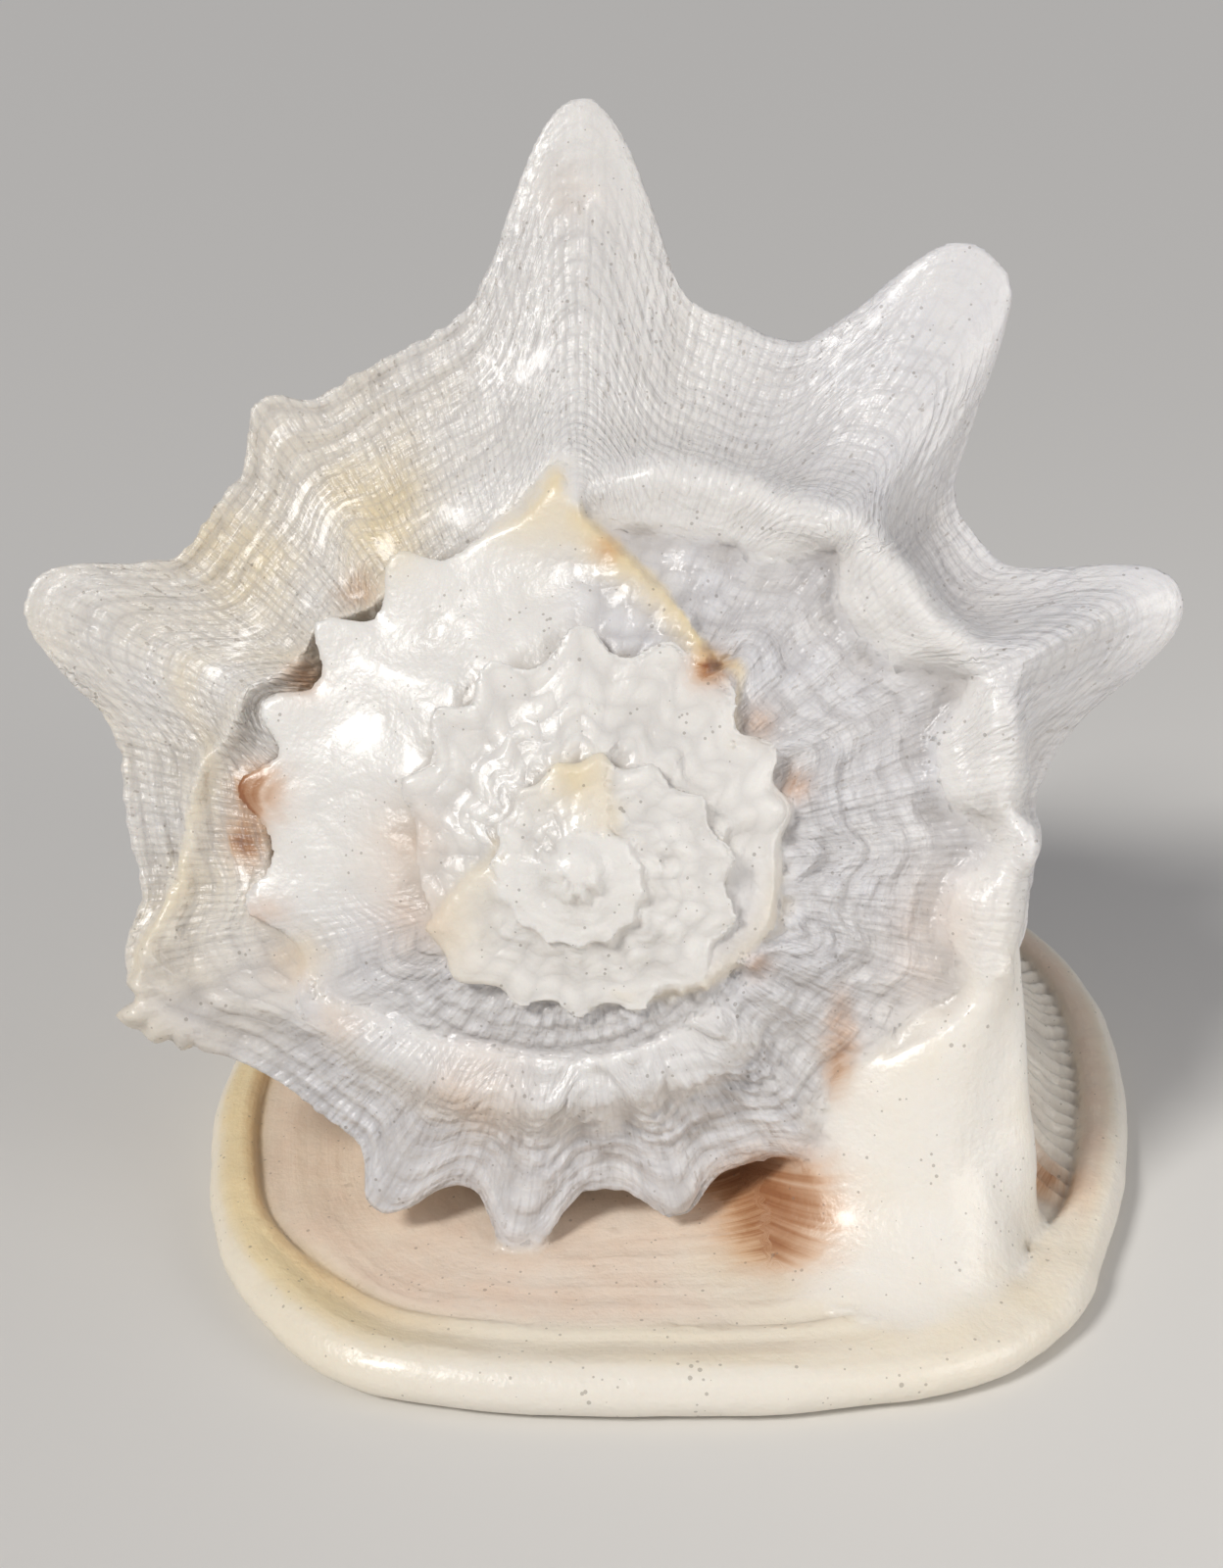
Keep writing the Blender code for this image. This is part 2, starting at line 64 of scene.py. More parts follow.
# Share of a spike's length by which the next turn's start stands further out where it meets the spike.
SUTURE_SCALLOP = [
    (-1600, 0.3), (-700, 0.5), (-250, 0.5), (-200, 0.1), (-110, 0.5), (-20, 0.5), (25, 1.05),
    (132, 1.05),
]
# Rolled band beside the start of a whorl: how high its crest stands over the earlier shoulder, and how
# far out from it. Where the height is well below 0 there is no band.
BAND_HEIGHT = [
    (-1600, -5), (-620, -6), (-400, -5), (-260, -2), (-200, 3), (-150, 3.5), (-120, 0), (-90, -9),
    (-25, -9), (5, 3), (35, 6), (100, 6), (132, 0),
]
BAND_PLACE = [(-1600, 3), (-250, 3), (-200, 0), (-150, 0), (-110, 3), (0, 5), (132, 5)]
BAND_WIDTH_SHARE = 0.065
# Least distance from the whorl's start out to the band's crest.
BAND_CLEAR = 4.5
# Inner slope of the band, as a share of the way from the whorl's start to the crest.
BAND_INNER_SHARE = 0.75
# Share of the ramp that is past the band, where the hollow begins.
HOLLOW_START = 0.25
RAMP_HOLLOW = [
    (-1600, 0), (-900, 0.6), (-700, 1.2), (-363, 1), (-250, 2), (-150, 1), (-60, 3), (0, 4.5), (40, 3.5),
    (80, 3), (132, 3),
]

NUCLEUS_RADIUS = 7.0
NUCLEUS_LEVEL = 25.8

# Horns of the last turn: growth angle, length, half-width along the shoulder, bluntness, lift.
HORNS = [
    (-64, 26, 13, 2.6, 0.10), (-35, 8, 7, 2.4, 0.10), (0, 41, 14.8, 2.1, 0.15), (34, 38, 14.5, 3.0, 0.25),
    (66, 33, 13.5, 2.5, 0.25),
]
# Shoulder spikes of the turns before, in the same five numbers.
SPIKES = [
    (-784, 5, 4.5, 2.2, 0), (-763, 6, 4.5, 2.2, 0), (-744, 6, 4.5, 2.2, 0), (-720, 7, 5, 2.2, 0),
    (-697, 7, 5, 2.2, 0), (-680, 6.5, 4.5, 2.2, 0), (-662, 6.5, 4.5, 2.2, 0), (-647, 5, 4.5, 2.2, 0),
    (-477, 7, 5.5, 2.4, 0), (-457, 8, 5.5, 2.4, 0), (-437, 8, 5.5, 2.4, 0), (-423, 8, 5, 2.4, 0),
    (-407, 8, 5, 2.4, 0), (-391, 8, 5.5, 2.4, 0.1), (-363, 6, 5, 2, 0.1), (-321, 8, 6.5, 2.2, 0.1),
    (-296, 8, 6.5, 2.2, 0.1), (-273, 8, 6.5, 2.2, 0.1), (-253, 8, 6.5, 2.2, 0.1), (-221, 9, 6.5, 2.4, 0),
    (-196, 9, 6.5, 2.4, 0), (-171, 13, 7.5, 2.6, 0), (-150, 11, 7, 2.6, 0), (-105.5, 10, 13, 3, 0.2),
]
# Small spikes nearer the tip come at even steps of growth.
FINE_SPIKE_ANGLES = np.arange(-1380, -840, 24.0)
FINE_SPIKE_SHARE = 0.12
FINE_SPIKE_HALF_WIDTH_SHARE = 0.13
# A spike runs this much further down the wall than across it.
SPIKE_WALL_STRETCH = 1.4

# Old outer lips that stayed as raised steps: angle at the shoulder, angle at the suture, height.
VARICES = [(-1067, -1033, 1.6), (-830, -790, 2.4), (-613, -555, 3.2), (-363, -305, 4.5), (-108, -28, 6.0)]
VARIX_LENGTH = 15.0
VARIX_SLANT = 0.6

# Blunt knobs in two rows on the back of the last turn: level below the shoulder, length, half-width.
KNOB_ROWS = [(44, 6.0, 8.0), (84, 4.0, 7.5)]
KNOB_ANGLES = np.arange(-90, 92, 24.0)
KNOB_RADIUS = 85.0

# Wall below the shoulder. Turns whose wall is covered by the next one have a short wall.
WALL_LENGTH = 172.0
WALL_TAPER = 0.9
WALL_TAPER_POWER = 1.6
WALL_SPACING = 1.5
EARLY_WALL_LENGTH = 22.0
EARLY_WALL_TAPER = 0.3
FULL_WALL_ANGLES = (-320, -250)
CORE_RADIUS = 0.4
CORE_DROP_SHARE = 0.8
FIRST_TURN_RISE = 3.0
# Half-width in degrees over which a ramp evens out the steps of the turn it starts on.
START_EVENING = 9
START_FADE = 7.0
NARROWEST_RAMP = 2.0
SHOULDER_ROUNDING = 2

# Outline of the shield and outer lip on the table, from the hub, anticlockwise from the front. Each row
# is x, y, how high the plate rises towards the body, and how far in from the outline the rise starts.
RIM_OUTLINE = [
    (10, -70, 6, 32), (45, -69, 12, 30), (78, -62, 34, 27), (99, -45, 48, 20), (112, -18, 48, 15),
    (122, 12, 46, 14), (129, 48, 42, 14), (130, 86, 38, 14), (121, 120, 30, 14), (102, 148, 20, 14),
    (74, 168, 12, 14), (40, 178, 8, 14), (12, 168, 6, 14), (-12, 169, 8, 14), (-34, 157, 10, 14),
    (-53, 135, 10, 16), (-69, 106, 8, 18), (-81, 74, 6, 20), (-86, 38, 5, 22), (-82, 3, 4, 24),
    (-72, -30, 4, 26), (-50, -58, 5, 30), (-22, -68, 5, 32),
]
RIM_CENTRE = (24.0, 52.0)
MOUND_REACH = 40.0
# Section of the rim: distance in from the outline, height above the table.
RIM_TOP = [(0.0, 5.5), (1.0, 8.6), (3.5, 10.8), (7.0, 11.3), (11.0, 10.0), (14.5, 9.2), (19.0, 9.8)]
PLATE_DISTANCES = (24, 29, 34, 39, 44, 49, 54, 60)
PLATE_REACH = 0.9
RIM_FOOT = [(1.2, 2.4), (4.0, 0.3), (9.0, -0.7), (13.0, 0.4), (20.0, 2.2), (34.0, 3.0)]

# Ways through the shell, from the hub: x, y, height above the table, then half-widths.
MOUTH_WAY = [
    (64, -14, 4, 4, 9), (66, 12, 12, 8, 20), (62, 44, 17, 10.5, 27), (52, 80, 17, 10, 25),
    (37, 112, 15, 8.5, 20), (21, 138, 15, 7, 16), (12, 156, 20, 6.5, 14), (7, 170, 38, 6, 9),
    (5, 180, 60, 5.5, 8),
]
TOOTH_SPACING = 12.0
TOOTH_DEPTH = 2.6
# Distances along the way over which the teeth grow and fade.
TEETH_GROW = (14, 30)
TEETH_FADE = (130, 150)
CANAL_WAY = [(22, 110, 30, 18), (14, 134, 26, 18), (9, 153, 29, 17), (6, 166, 39, 15), (4, 173, 53, 12.5)]
# Ridge of callus that comes down from the last suture to the shield's front corner.
RIDGE_WAY = [
    (82, 10, 90, 4), (86.5, -3, 68, 4.5), (87.5, -9, 48, 5.5), (89, -15, 28, 6.5), (90, -18, 9, 7),
]
# Callus between that ridge and the turn before: x, how far back it goes, then y and height of its top,
# middle and foot.
CALLUS_STATIONS = [
    (34, 26, 0, 30, -15, 16, -36, 8), (50, 26, -17, 44, -30, 20, -53, 8),
    (70, 22, -21, 56, -32, 25, -55, 8), (82, 10, -16, 64, -24, 32, -46, 8),
    (90, 2, -10, 58, -17, 30, -34, 8),
]
CALLUS_FLOOR = 6.0

ANGLE_STEP = 1.0
RAMP_POINTS = 44
WALL_POINTS = 70
RIM_POINTS = 400
RIM_ROWS = 110
MOUTH_RINGS = 260
MOUTH_SIDES = 32
LIMB_RINGS = 40
LIMB_SIDES = 48
CALLUS_RINGS = 48
CALLUS_POINTS = 22
VOXEL = 0.95
SMOOTH_ROUNDS = 2
# Where the callus and the canal flow into what they stand on: x, y, z and reach.
SOFT_PLACES = [
    (42, -69, 38, 11), (54, -77, 44, 15), (66, -80, 52, 16), (78, -72, 64, 14), (24, -90, 10, 12),
    (34, -100, 11, 16), (48, -108, 12, 18), (62, -108, 14, 19), (76, -100, 14, 18), (84, -82, 16, 18),
    (80, -70, 36, 15), (52, -88, 24, 14), (68, -90, 28, 14), (-4, 104, 36, 14), (4, 104, 16, 12),
]
SOFT_ROUNDS = 260
# The softening stops where it is weaker than this.
SOFT_LEAST = 0.02
# Side in metres of the block under the table that trims the foot flat.
TRIM_BLOCK = 0.6
# Heights over which the fine relief sets in above the flat foot.
FOOT_FREE = (0.3, 3.0)
TRIANGLES = 196000
# Within this radius and above this level the skin is finer, for the small beads round the tip.
FINE_RADIUS = 66
FINE_LEVEL = -4
# Real spacing of the cords and beads where the whorl's radius is 50 mm. It widens with the whorl.
CORD_PITCH = 3.2
PITCH_RADIUS = 50
PITCH_POWER = 0.25
# Stretches of growth, in degrees, with a relief of their own.
CORDED = (-1320, -620)
BEADED = (-585, -490)
WORN_SMOOTH = (-500, -372)
LUMPY = (-345, -175)
FRONT = (-225, -112)
PLEATED = (-138, -112)
NEWEST_FROM = -100
# Distances along the section, from the shoulder, of the ramp and of a horn.
RAMP_SPAN = (-200, -1.0)
HORN_SPAN = (-30, 30)
# Crest of the rolled band, and the ribs behind the outer lip.
ROPE_HEIGHT = 2.2
ROPE_WIDTH = 4.5
RIB_HEIGHT = 1.7
RIB_SPACING = 6.5
# Radius and angle about the axis of the pit that the folds on the left spread from.
FAN_PIT = (83.0, 250.6)
FAN_FOLDS = 13
# Colour spots on the whorls: radius and clockwise angle about the axis, and reach.
YELLOW_SPOTS = [(86, 332, 9), (76, 329, 6), (92, 328, 5), (18, 357, 4), (97, 312, 12), (58, 252, 5)]
PEACH_SPOTS = [
    (35, 277, 8), (34, 254, 8), (73, 98, 8), (74, 107, 8), (62, 251, 5), (58, 237, 5), (50, 205, 9),
]
# Brown grooves between the knobs, in the same numbers and with how strong each is.
BROWN_GROOVES = [
    (67, 283, 4.6, 2.4), (68, 274, 4.2, 2.0), (68, 304, 3.5, 1.2), (72, 321, 3.5, 1.0), (47, 33, 3.4, 1.9),
    (46, 51, 3.0, 1.1), (46, 69, 3.0, 1.0), (64, 262, 2.6, 0.9), (40, 118, 2.6, 0.7), (63.7, 5, 2.4, 1.2),
]
# Scar below the tip of the top horn: radius and angle about the axis, and reach.
SCAR = (139, 359, 6)
SCAR_DEPTH = 1.4
# Stains on the shield and lip: x, y, z, width, depth and how strong.
STAINS = [
    (27, -68, 20, 12, 8, 1.9), (34, -82, 15, 15, 13, 1.25), (44, -73, 48, 3.5, 4, 1.2),
    (93, -60, 20, 8, 11, 1.1), (92, -40, 30, 9, 14, 0.3),
]
STAIN_HEIGHT = 16
# How many times the depth of a hollow is spread to its neighbours, for the broad shade painted into the
# hollows.
HOLLOW_ROUNDS = 10
# How many times the colours are evened out with their neighbours.
COLOUR_ROUNDS = 2
# How far past a grid point, in steps of the grid, a place is read.
READ_PAST = 0.7
# A step of the relief between neighbours above this is a jump, and is evened out.
LARGEST_STEP = 1.1
# Neighbours more than this many pattern steps apart lie on different turns.
SEAM_STEPS = 4
FAR_AWAY = 99.0
# A wave texture's period is 0.314 at scale 1, so these give threads 1.9 mm and cords 2.7 mm apart.
THREAD_SCALE = 0.52
CORD_SCALE = 0.37
# Against the pattern's steps of 3.2 mm, along growth and across it: threads and cords 1.5 mm wide, growth
# bands 1.7 mm, beads about 6 by 5 mm, and dashes of dirt 1.6 by 4.6 mm.
THREADS_IN_STEP = (2.1, 0.4)
CORDS_IN_STEP = (0.4, 2.1)
BANDS_IN_STEP = (0.12, 1.9)
BEADS_IN_STEP = (0.5, 0.68)
DASHES_IN_STEP = (2.0, 0.7)
# Scales to the metre: mottling about 9 mm across, pits 2.4 mm apart, and grain 1.4 mm across, which is
# coarser than the real grain so that it shows.
MOTTLE_SCALE = 110.0
SPECK_SCALE = 420.0
GRAIN_SCALE = 700.0
# Depth of the finest relief, and how far light goes into the lime.
FINE_DEPTH = 1.3
GLOW_DEPTH = 3.0

# Camera at the photograph's viewing angle. The floor's side is in metres.
CAMERA_PLACE = (HUB[0] + 6.394, HUB[1] - 379.870, 264.046)
CAMERA_TILT = 67
CAMERA_LENS = 47.25
CAMERA_SENSOR = 36.0
LAMP_AIM = 80
FLOOR_SIZE = 24.0
WHORL, RIM, CALLUS, LIMB = range(4)


def smooth_curve(pairs, places):
    """Value at each place of the smooth curve through (place, value) pairs, held level past its ends."""
    xs = np.array([p[0] for p in pairs], float)
    ys = np.array([p[1] for p in pairs], float)
    rises = np.diff(ys) / np.diff(xs)
    slopes = np.concatenate([[0.0], (rises[:-1] + rises[1:]) / 2, [0.0]])
    places = np.clip(places, xs[0], xs[-1])
    k = np.clip(np.searchsorted(xs, places, side="right") - 1, 0, len(xs) - 2)
    gap = xs[k + 1] - xs[k]
    t = (places - xs[k]) / gap
    return (
        ys[k] * (1 + 2 * t) * (1 - t) ** 2
        + slopes[k] * gap * t * (1 - t) ** 2
        + ys[k + 1] * t * t * (3 - 2 * t)
        + slopes[k + 1] * gap * t * t * (t - 1)
    )


def smooth_step(value, start, end):
    t = np.clip((value - start) / (end - start), 0, 1)
    return t * t * (3 - 2 * t)


def from_axis(radius, angle, level):
    """World point in millimetres for a radius, clockwise angle and level along the shell's axis."""
    across = radius * np.sin(np.radians(angle))
    upward = radius * np.cos(np.radians(angle))
    sine = math.sin(AXIS_TILT)
    cosine = math.cos(AXIS_TILT)
    return np.stack(
        [
            HUB[0] + across,
            HUB[1] + upward * sine - level * cosine,
            HUB[2] + upward * cosine + level * sine,
        ],
        axis=-1,
    )


def to_axis(points):
    """Radius, clockwise angle and level about the shell's axis of world points in millimetres."""
    away = points - HUB
    sine = math.sin(AXIS_TILT)
    cosine = math.cos(AXIS_TILT)
    upward = away[:, 1] * sine + away[:, 2] * cosine
    level = away[:, 2] * sine - away[:, 1] * cosine
    return np.hypot(away[:, 0], upward), np.degrees(np.arctan2(away[:, 0], upward)), level


def noise(places, seed):
    """Smooth noise from -1 to 1, one value for each place, which has two or three coordinates."""
    cell = np.floor(places)
    part = places - cell
    part = part * part * (3 - 2 * part)
    cell = cell.astype(np.int64)
    total = np.zeros(places.shape[:-1])
    for corner in np.ndindex(*(2,) * places.shape[-1]):
        key = np.full(total.shape, seed * 7919, np.int64)
        weight = np.ones_like(total)
        for axis, step in enumerate(corner):
            key = (key * 31 + (cell[..., axis] + step) * (73856093, 19349663, 83492791)[axis]) & 0xFFFFFFFF
            key = ((key ^ (key >> 15)) * 2246822519) & 0xFFFFFFFF
            weight = weight * (part[..., axis] if step else 1 - part[..., axis])
        key = key ^ (key >> 13)
        total += weight * ((key & 0xFFFF) / 32767.5 - 1)
    return total


def noise_at(seed, *columns):
    """Smooth noise from -1 to 1 at places given by a column for each coordinate."""
    return noise(np.stack(columns, axis=-1), seed)


def only(piece):
    """Makes a piece the one thing that is selected, and the active one."""
    bpy.ops.object.select_all(action="DESELECT")
    piece.select_set(True)
    bpy.context.view_layer.objects.active = piece


def coordinates(piece):
    values = np.empty(len(piece.data.vertices) * 3)
    piece.data.vertices.foreach_get("co", values)
    return values.reshape(-1, 3) / MM


def place_points(piece, points):
    piece.data.vertices.foreach_set("co", (np.asarray(points) * MM).ravel())
    piece.data.update()


def rolled_grid(name, rings):
    """Closed piece from rings of points: a grid rolled up until its sides meet, with its ends filled."""
    rings = np.asarray(rings)
    count, sides = rings.shape[:2]
    bpy.ops.object.select_all(action="DESELECT")
    bpy.ops.mesh.primitive_grid_add(x_subdivisions=sides, y_subdivisions=count - 1, size=1.0)
    piece = bpy.context.object
    piece.name = name
    place_points(piece, np.concatenate([rings, rings[:, :1]], axis=1).reshape(-1, 3))
    bpy.ops.object.mode_set(mode="EDIT")
    bpy.ops.mesh.select_all(action="SELECT")
    bpy.ops.mesh.remove_doubles(threshold=1e-7)
    bpy.ops.mesh.fill_holes(sides=0)
    bpy.ops.mesh.select_all(action="SELECT")
    bpy.ops.mesh.normals_make_consistent(inside=False)
    bpy.ops.object.mode_set(mode="OBJECT")
    return piece


def apply_modifier(piece, kind, **settings):
    modifier = piece.modifiers.new(kind.title(), kind)
    for name, value in settings.items():
        setattr(modifier, name, value)
    only(piece)
    bpy.ops.object.modifier_apply(modifier=modifier.name)


def all_spikes():
    fine_radius = smooth_curve(SHOULDER_RADIUS, FINE_SPIKE_ANGLES)
    fine = [
        (angle, FINE_SPIKE_SHARE * radius, FINE_SPIKE_HALF_WIDTH_SHARE * radius, 2.0, 0.0)
        for angle, radius in zip(FINE_SPIKE_ANGLES, fine_radius)
    ]
    return HORNS + SPIKES + fine


def spike_push(angles, along):
    """Outward and tipward push of every horn, spike and knob, where along runs from ramp to wall."""
    out = np.zeros(np.broadcast_shapes(angles.shape, along.shape))
    lift = np.zeros_like(out)
    for angle, length, half_width, bluntness, rise in ALL_SPIKES:
        own_radius = smooth_curve(SHOULDER_RADIUS, angle)
        across = np.abs(np.radians(angles - angle) * own_radius) / half_width
        if across.min() > 3:
            continue
        depth = along / (half_width * np.where(along > 0, SPIKE_WALL_STRETCH, 1.0))
        push = length * np.exp(-(across**bluntness) - depth**2)
        out += push
        lift += push * rise
    for row_depth, length, half_width in KNOB_ROWS:
        for angle in KNOB_ANGLES:
            arc = np.radians(angles - angle) * KNOB_RADIUS
            if np.abs(arc).min() > 3 * half_width:
                continue
            out += length * np.exp(-((arc / half_width) ** 2) - ((along - row_depth) / half_width) ** 2)
    return out, lift


def varix_height(angles, share, radii):
    """Height of the old lips, where share runs from 0 at the whorl's start to 1 at its shoulder."""
    height = np.zeros(np.broadcast_shapes(angles.shape, share.shape))
    for at_shoulder, at_suture, rise in VARICES:
        edge = at_suture + (at_shoulder - at_suture) * share**VARIX_SLANT
        before = np.radians(edge - angles) * radii
        height += np.where(before >= 0, rise * np.exp(-((before / VARIX_LENGTH) ** 2)), 0)
    return height


def whorl_ramps(angles, radius, level):
    """Radii and levels of the ramps, each started on the skin of the turn before."""
    share = np.linspace(0, 1, RAMP_POINTS)
    turn = round(360 / ANGLE_STEP)
    tip_push, _ = spike_push(angles, np.zeros(1))
    inset = smooth_curve(SUTURE_INSET, angles)
    drop = smooth_curve(SUTURE_DROP, angles)
    scallop = smooth_curve(SUTURE_SCALLOP, angles)
    band = smooth_curve(BAND_HEIGHT, angles)
    place = smooth_curve(BAND_PLACE, angles)
    hollow = smooth_curve(RAMP_HOLLOW, angles)
    past_band = np.clip((share - HOLLOW_START) / (1 - HOLLOW_START), 0, 1)
    old_lips = varix_height(angles[:, None], share[None, :], radius[:, None])
    radii = np.zeros((len(angles), RAMP_POINTS))
    levels = np.zeros_like(radii)
    starts = np.full(len(angles), CORE_RADIUS)
    wanted = radius[:-turn] - inset[turn:] + scallop[turn:] * tip_push[:-turn]
    starts[turn:] = np.clip(wanted, CORE_RADIUS, radius[turn:] - NARROWEST_RAMP)
    start_levels = level + FIRST_TURN_RISE
    evening = round(START_EVENING / ANGLE_STEP)
    for i, shoulder in enumerate(radius):
        start = starts[i]
        crest = 0.0
        ahead = min(i + evening, len(radius) - 1)
        if ahead >= turn:
            earlier = ahead - turn
            skin_level = np.interp(starts[ahead], radii[earlier], levels[earlier])
            start_levels[ahead] = skin_level - drop[ahead]
        if i >= turn:
            crest = max(radius[i - turn] + place[i], start + BAND_CLEAR)
        even_level = np.mean(start_levels[max(i - evening, min(turn, i)) : ahead + 1])
        across = start + (shoulder - start) * share
        slope = even_level + (level[i] - even_level) * share - hollow[i] * 4 * past_band * (1 - past_band)
        slope += (start_levels[i] - even_level) * np.exp(-(((across - start) / START_FADE) ** 2))
        needed = level[max(i - turn, 0)] + band[i] - np.interp(crest, across, slope)
        outer_width = BAND_WIDTH_SHARE * crest + 1
        inner_width = max(BAND_INNER_SHARE * (crest - start), outer_width / 2)
        width = np.where(across < crest, inner_width, outer_width)
        roll = max(needed, 0) * np.exp(-(((across - crest) / width) ** 2))
        push, lift = spike_push(angles[i : i + 1], across - shoulder)
        radii[i] = across + push
        levels[i] = slope + roll + old_lips[i] + lift
    return radii, levels


def whorl_sections():
    """Rings of points, one for each step of growth, and each point's growth angle and distance along."""
    angles = np.arange(FIRST_ANGLE, LAST_ANGLE + ANGLE_STEP / 2, ANGLE_STEP)
    radius = smooth_curve(SHOULDER_RADIUS, angles)
    level = smooth_curve(SHOULDER_LEVEL, angles)
    ramp_radii, ramp_levels = whorl_ramps(angles, radius, level)

    down = np.linspace(0, 1, WALL_POINTS + 1)[None, 1:] ** WALL_SPACING
    full = smooth_step(angles, *FULL_WALL_ANGLES)[:, None]
    length = EARLY_WALL_LENGTH + (WALL_LENGTH - EARLY_WALL_LENGTH) * full
    taper = WALL_TAPER * full * down**WALL_TAPER_POWER + EARLY_WALL_TAPER * (1 - full) * down
    push, lift = spike_push(angles[:, None], length * down)
    old_lips = varix_height(angles[:, None], np.ones((1, 1)), radius[:, None]) * (1 - down)
    wall_radii = radius[:, None] * (1 - taper) + push + old_lips
    wall_levels = level[:, None] - length * down + lift

    radii = np.concatenate([ramp_radii, wall_radii], axis=1)
    levels = np.concatenate([ramp_levels, wall_levels], axis=1)
    for _ in range(SHOULDER_ROUNDING):
        radii[:, 1:-1] = (radii[:, :-2] + 2 * radii[:, 1:-1] + radii[:, 2:]) / 4
        levels[:, 1:-1] = (levels[:, :-2] + 2 * levels[:, 1:-1] + levels[:, 2:]) / 4
    spread = np.broadcast_to(angles[:, None], radii.shape)
    surface = from_axis(radii, spread, levels)
    from_start = np.linspace(-1, 0, RAMP_POINTS) * (ramp_radii[:, -1:] - ramp_radii[:, :1])
    along = np.concatenate([from_start, length * down], axis=1)
    core = np.full((len(angles), 1), CORE_RADIUS)
    radii = np.concatenate([core, radii, core], axis=1)
    core_level = ramp_levels[:, :1] - CORE_DROP_SHARE * ramp_radii[:, :1]
    levels = np.concatenate([core_level, levels, wall_levels[:, -1:]], axis=1)
    rings = from_axis(radii, np.broadcast_to(angles[:, None], radii.shape), levels)
    return rings, surface, spread, along


def closed_outline(count):
    """Points round the rim's outline, with the plate's rise and where it starts at each."""
    knots = np.array(RIM_OUTLINE + RIM_OUTLINE[:1], float)
    places = np.arange(len(knots))
    around = np.linspace(0, len(RIM_OUTLINE), count, endpoint=False)
    columns = []
    for values in knots.T:
        wrapped = [(-1.0, values[-2]), *zip(places, values), (float(len(places)), values[1])]
        columns.append(smooth_curve(wrapped, around))
    return np.stack(columns, axis=1)


def rim_sections():
    """Rings of the shield and lip, from the foot over the rolled rim to the rise towards the body."""
    edge = closed_outline(RIM_POINTS)
    inward = np.array(RIM_CENTRE) - edge[:, :2]
    reach = np.linalg.norm(inward, axis=1, keepdims=True)
    inward = inward / reach
    plate = [(distance, RIM_TOP[-1][1]) for distance in PLATE_DISTANCES]
    sections = list(reversed(RIM_FOOT)) + RIM_TOP + plate
    runs = np.concatenate([[0], np.cumsum(np.linalg.norm(np.diff(np.array(sections), axis=0), axis=1))])
    places = np.linspace(0, runs[-1], RIM_ROWS)
    distances = smooth_curve(list(zip(runs, [s[0] for s in sections])), places)
    heights = smooth_curve(list(zip(runs, [s[1] for s in sections])), places)
    on_top = places > runs[len(RIM_FOOT)]
    rings = []
    for distance, height, rises in zip(distances, heights, on_top):
        flat = edge[:, :2] + inward * np.minimum(distance, reach * PLATE_REACH)
        start = edge[:, 3:]
        share = smooth_step(distance, start, start + MOUND_REACH) if rises else np.zeros_like(reach)
        rings.append(np.concatenate([flat + HUB[:2], height + edge[:, 2:3] * share], axis=1))
    rings = np.array(rings)
    around = np.cumsum(np.linalg.norm(np.diff(edge[:, :2], axis=0, append=edge[:1, :2]), axis=1))
    around = np.broadcast_to(around, rings.shape[:2])
    across = np.broadcast_to(np.where(on_top, distances, -distances)[:, None], rings.shape[:2])
    return rings, around, across


def way_points(way, count):
    """Smooth points along a way, with its other columns carried along."""
    table = np.array(way, float)
    places = np.arange(len(table))
    steps = np.linspace(0, len(table) - 1, count)
    return np.stack([smooth_curve(list(zip(places, c)), steps) for c in table.T], axis=1)


def tube(way, widths, heights, sides, lean):
    """Rings of oval section along a way, narrower on one side where they lean."""
    ahead = np.gradient(way, axis=0)
    ahead /= np.linalg.norm(ahead, axis=1, keepdims=True)
    side = np.cross(ahead, [0.0, 0.0, 1.0])
    side /= np.linalg.norm(side, axis=1, keepdims=True)
    upward = np.cross(side, ahead)
    turn = np.linspace(0, 2 * math.pi, sides, endpoint=False)
    rings = []
    for i in range(len(way)):
        width = widths[i] - lean[i] * np.maximum(np.cos(turn), 0)
        outward = np.outer(width * np.cos(turn), side[i])
        rings.append(way[i] + outward + np.outer(heights[i] * np.sin(turn), upward[i]))
    return np.array(rings)


def limb_rings(way):
    points = way_points(way, LIMB_RINGS)
    place = points[:, :3] + [HUB[0], HUB[1], 0]
    return tube(place, points[:, 3], points[:, 3], LIMB_SIDES, np.zeros(LIMB_RINGS))


def callus_rings():
    """Body whose front curves from the turn before down to the shield."""
    rings = []
    for row in way_points(CALLUS_STATIONS, CALLUS_RINGS):
        x, back_y = row[:2]
        front = way_points([row[2:4], row[4:6], row[6:8]], CALLUS_POINTS)
        back = [(back_y, CALLUS_FLOOR), (back_y, row[3])]
        rings.append([(HUB[0] + x, HUB[1] + y, z) for y, z in [*front, *back]])
    return np.array(rings)


def mouth_rings():
    """The mouth's slot and the bore of the canal, scalloped on the lip's side so that teeth stand in it."""
    way = way_points(MOUTH_WAY, MOUTH_RINGS)
    place = way[:, :3] + [HUB[0], HUB[1], 0]
    run = np.concatenate([[0], np.cumsum(np.linalg.norm(np.diff(place, axis=0), axis=1))])
    inner = smooth_step(run, *TEETH_GROW) * (1 - smooth_step(run, *TEETH_FADE))
    teeth = TOOTH_DEPTH * inner * (0.5 + 0.5 * np.cos(2 * math.pi * run / TOOTH_SPACING))
    return tube(place, way[:, 3], way[:, 4], MOUTH_SIDES, teeth)


def cut_away(piece, tool):
    apply_modifier(piece, "BOOLEAN", operation="DIFFERENCE", object=tool, solver="MANIFOLD")
    bpy.data.objects.remove(tool)


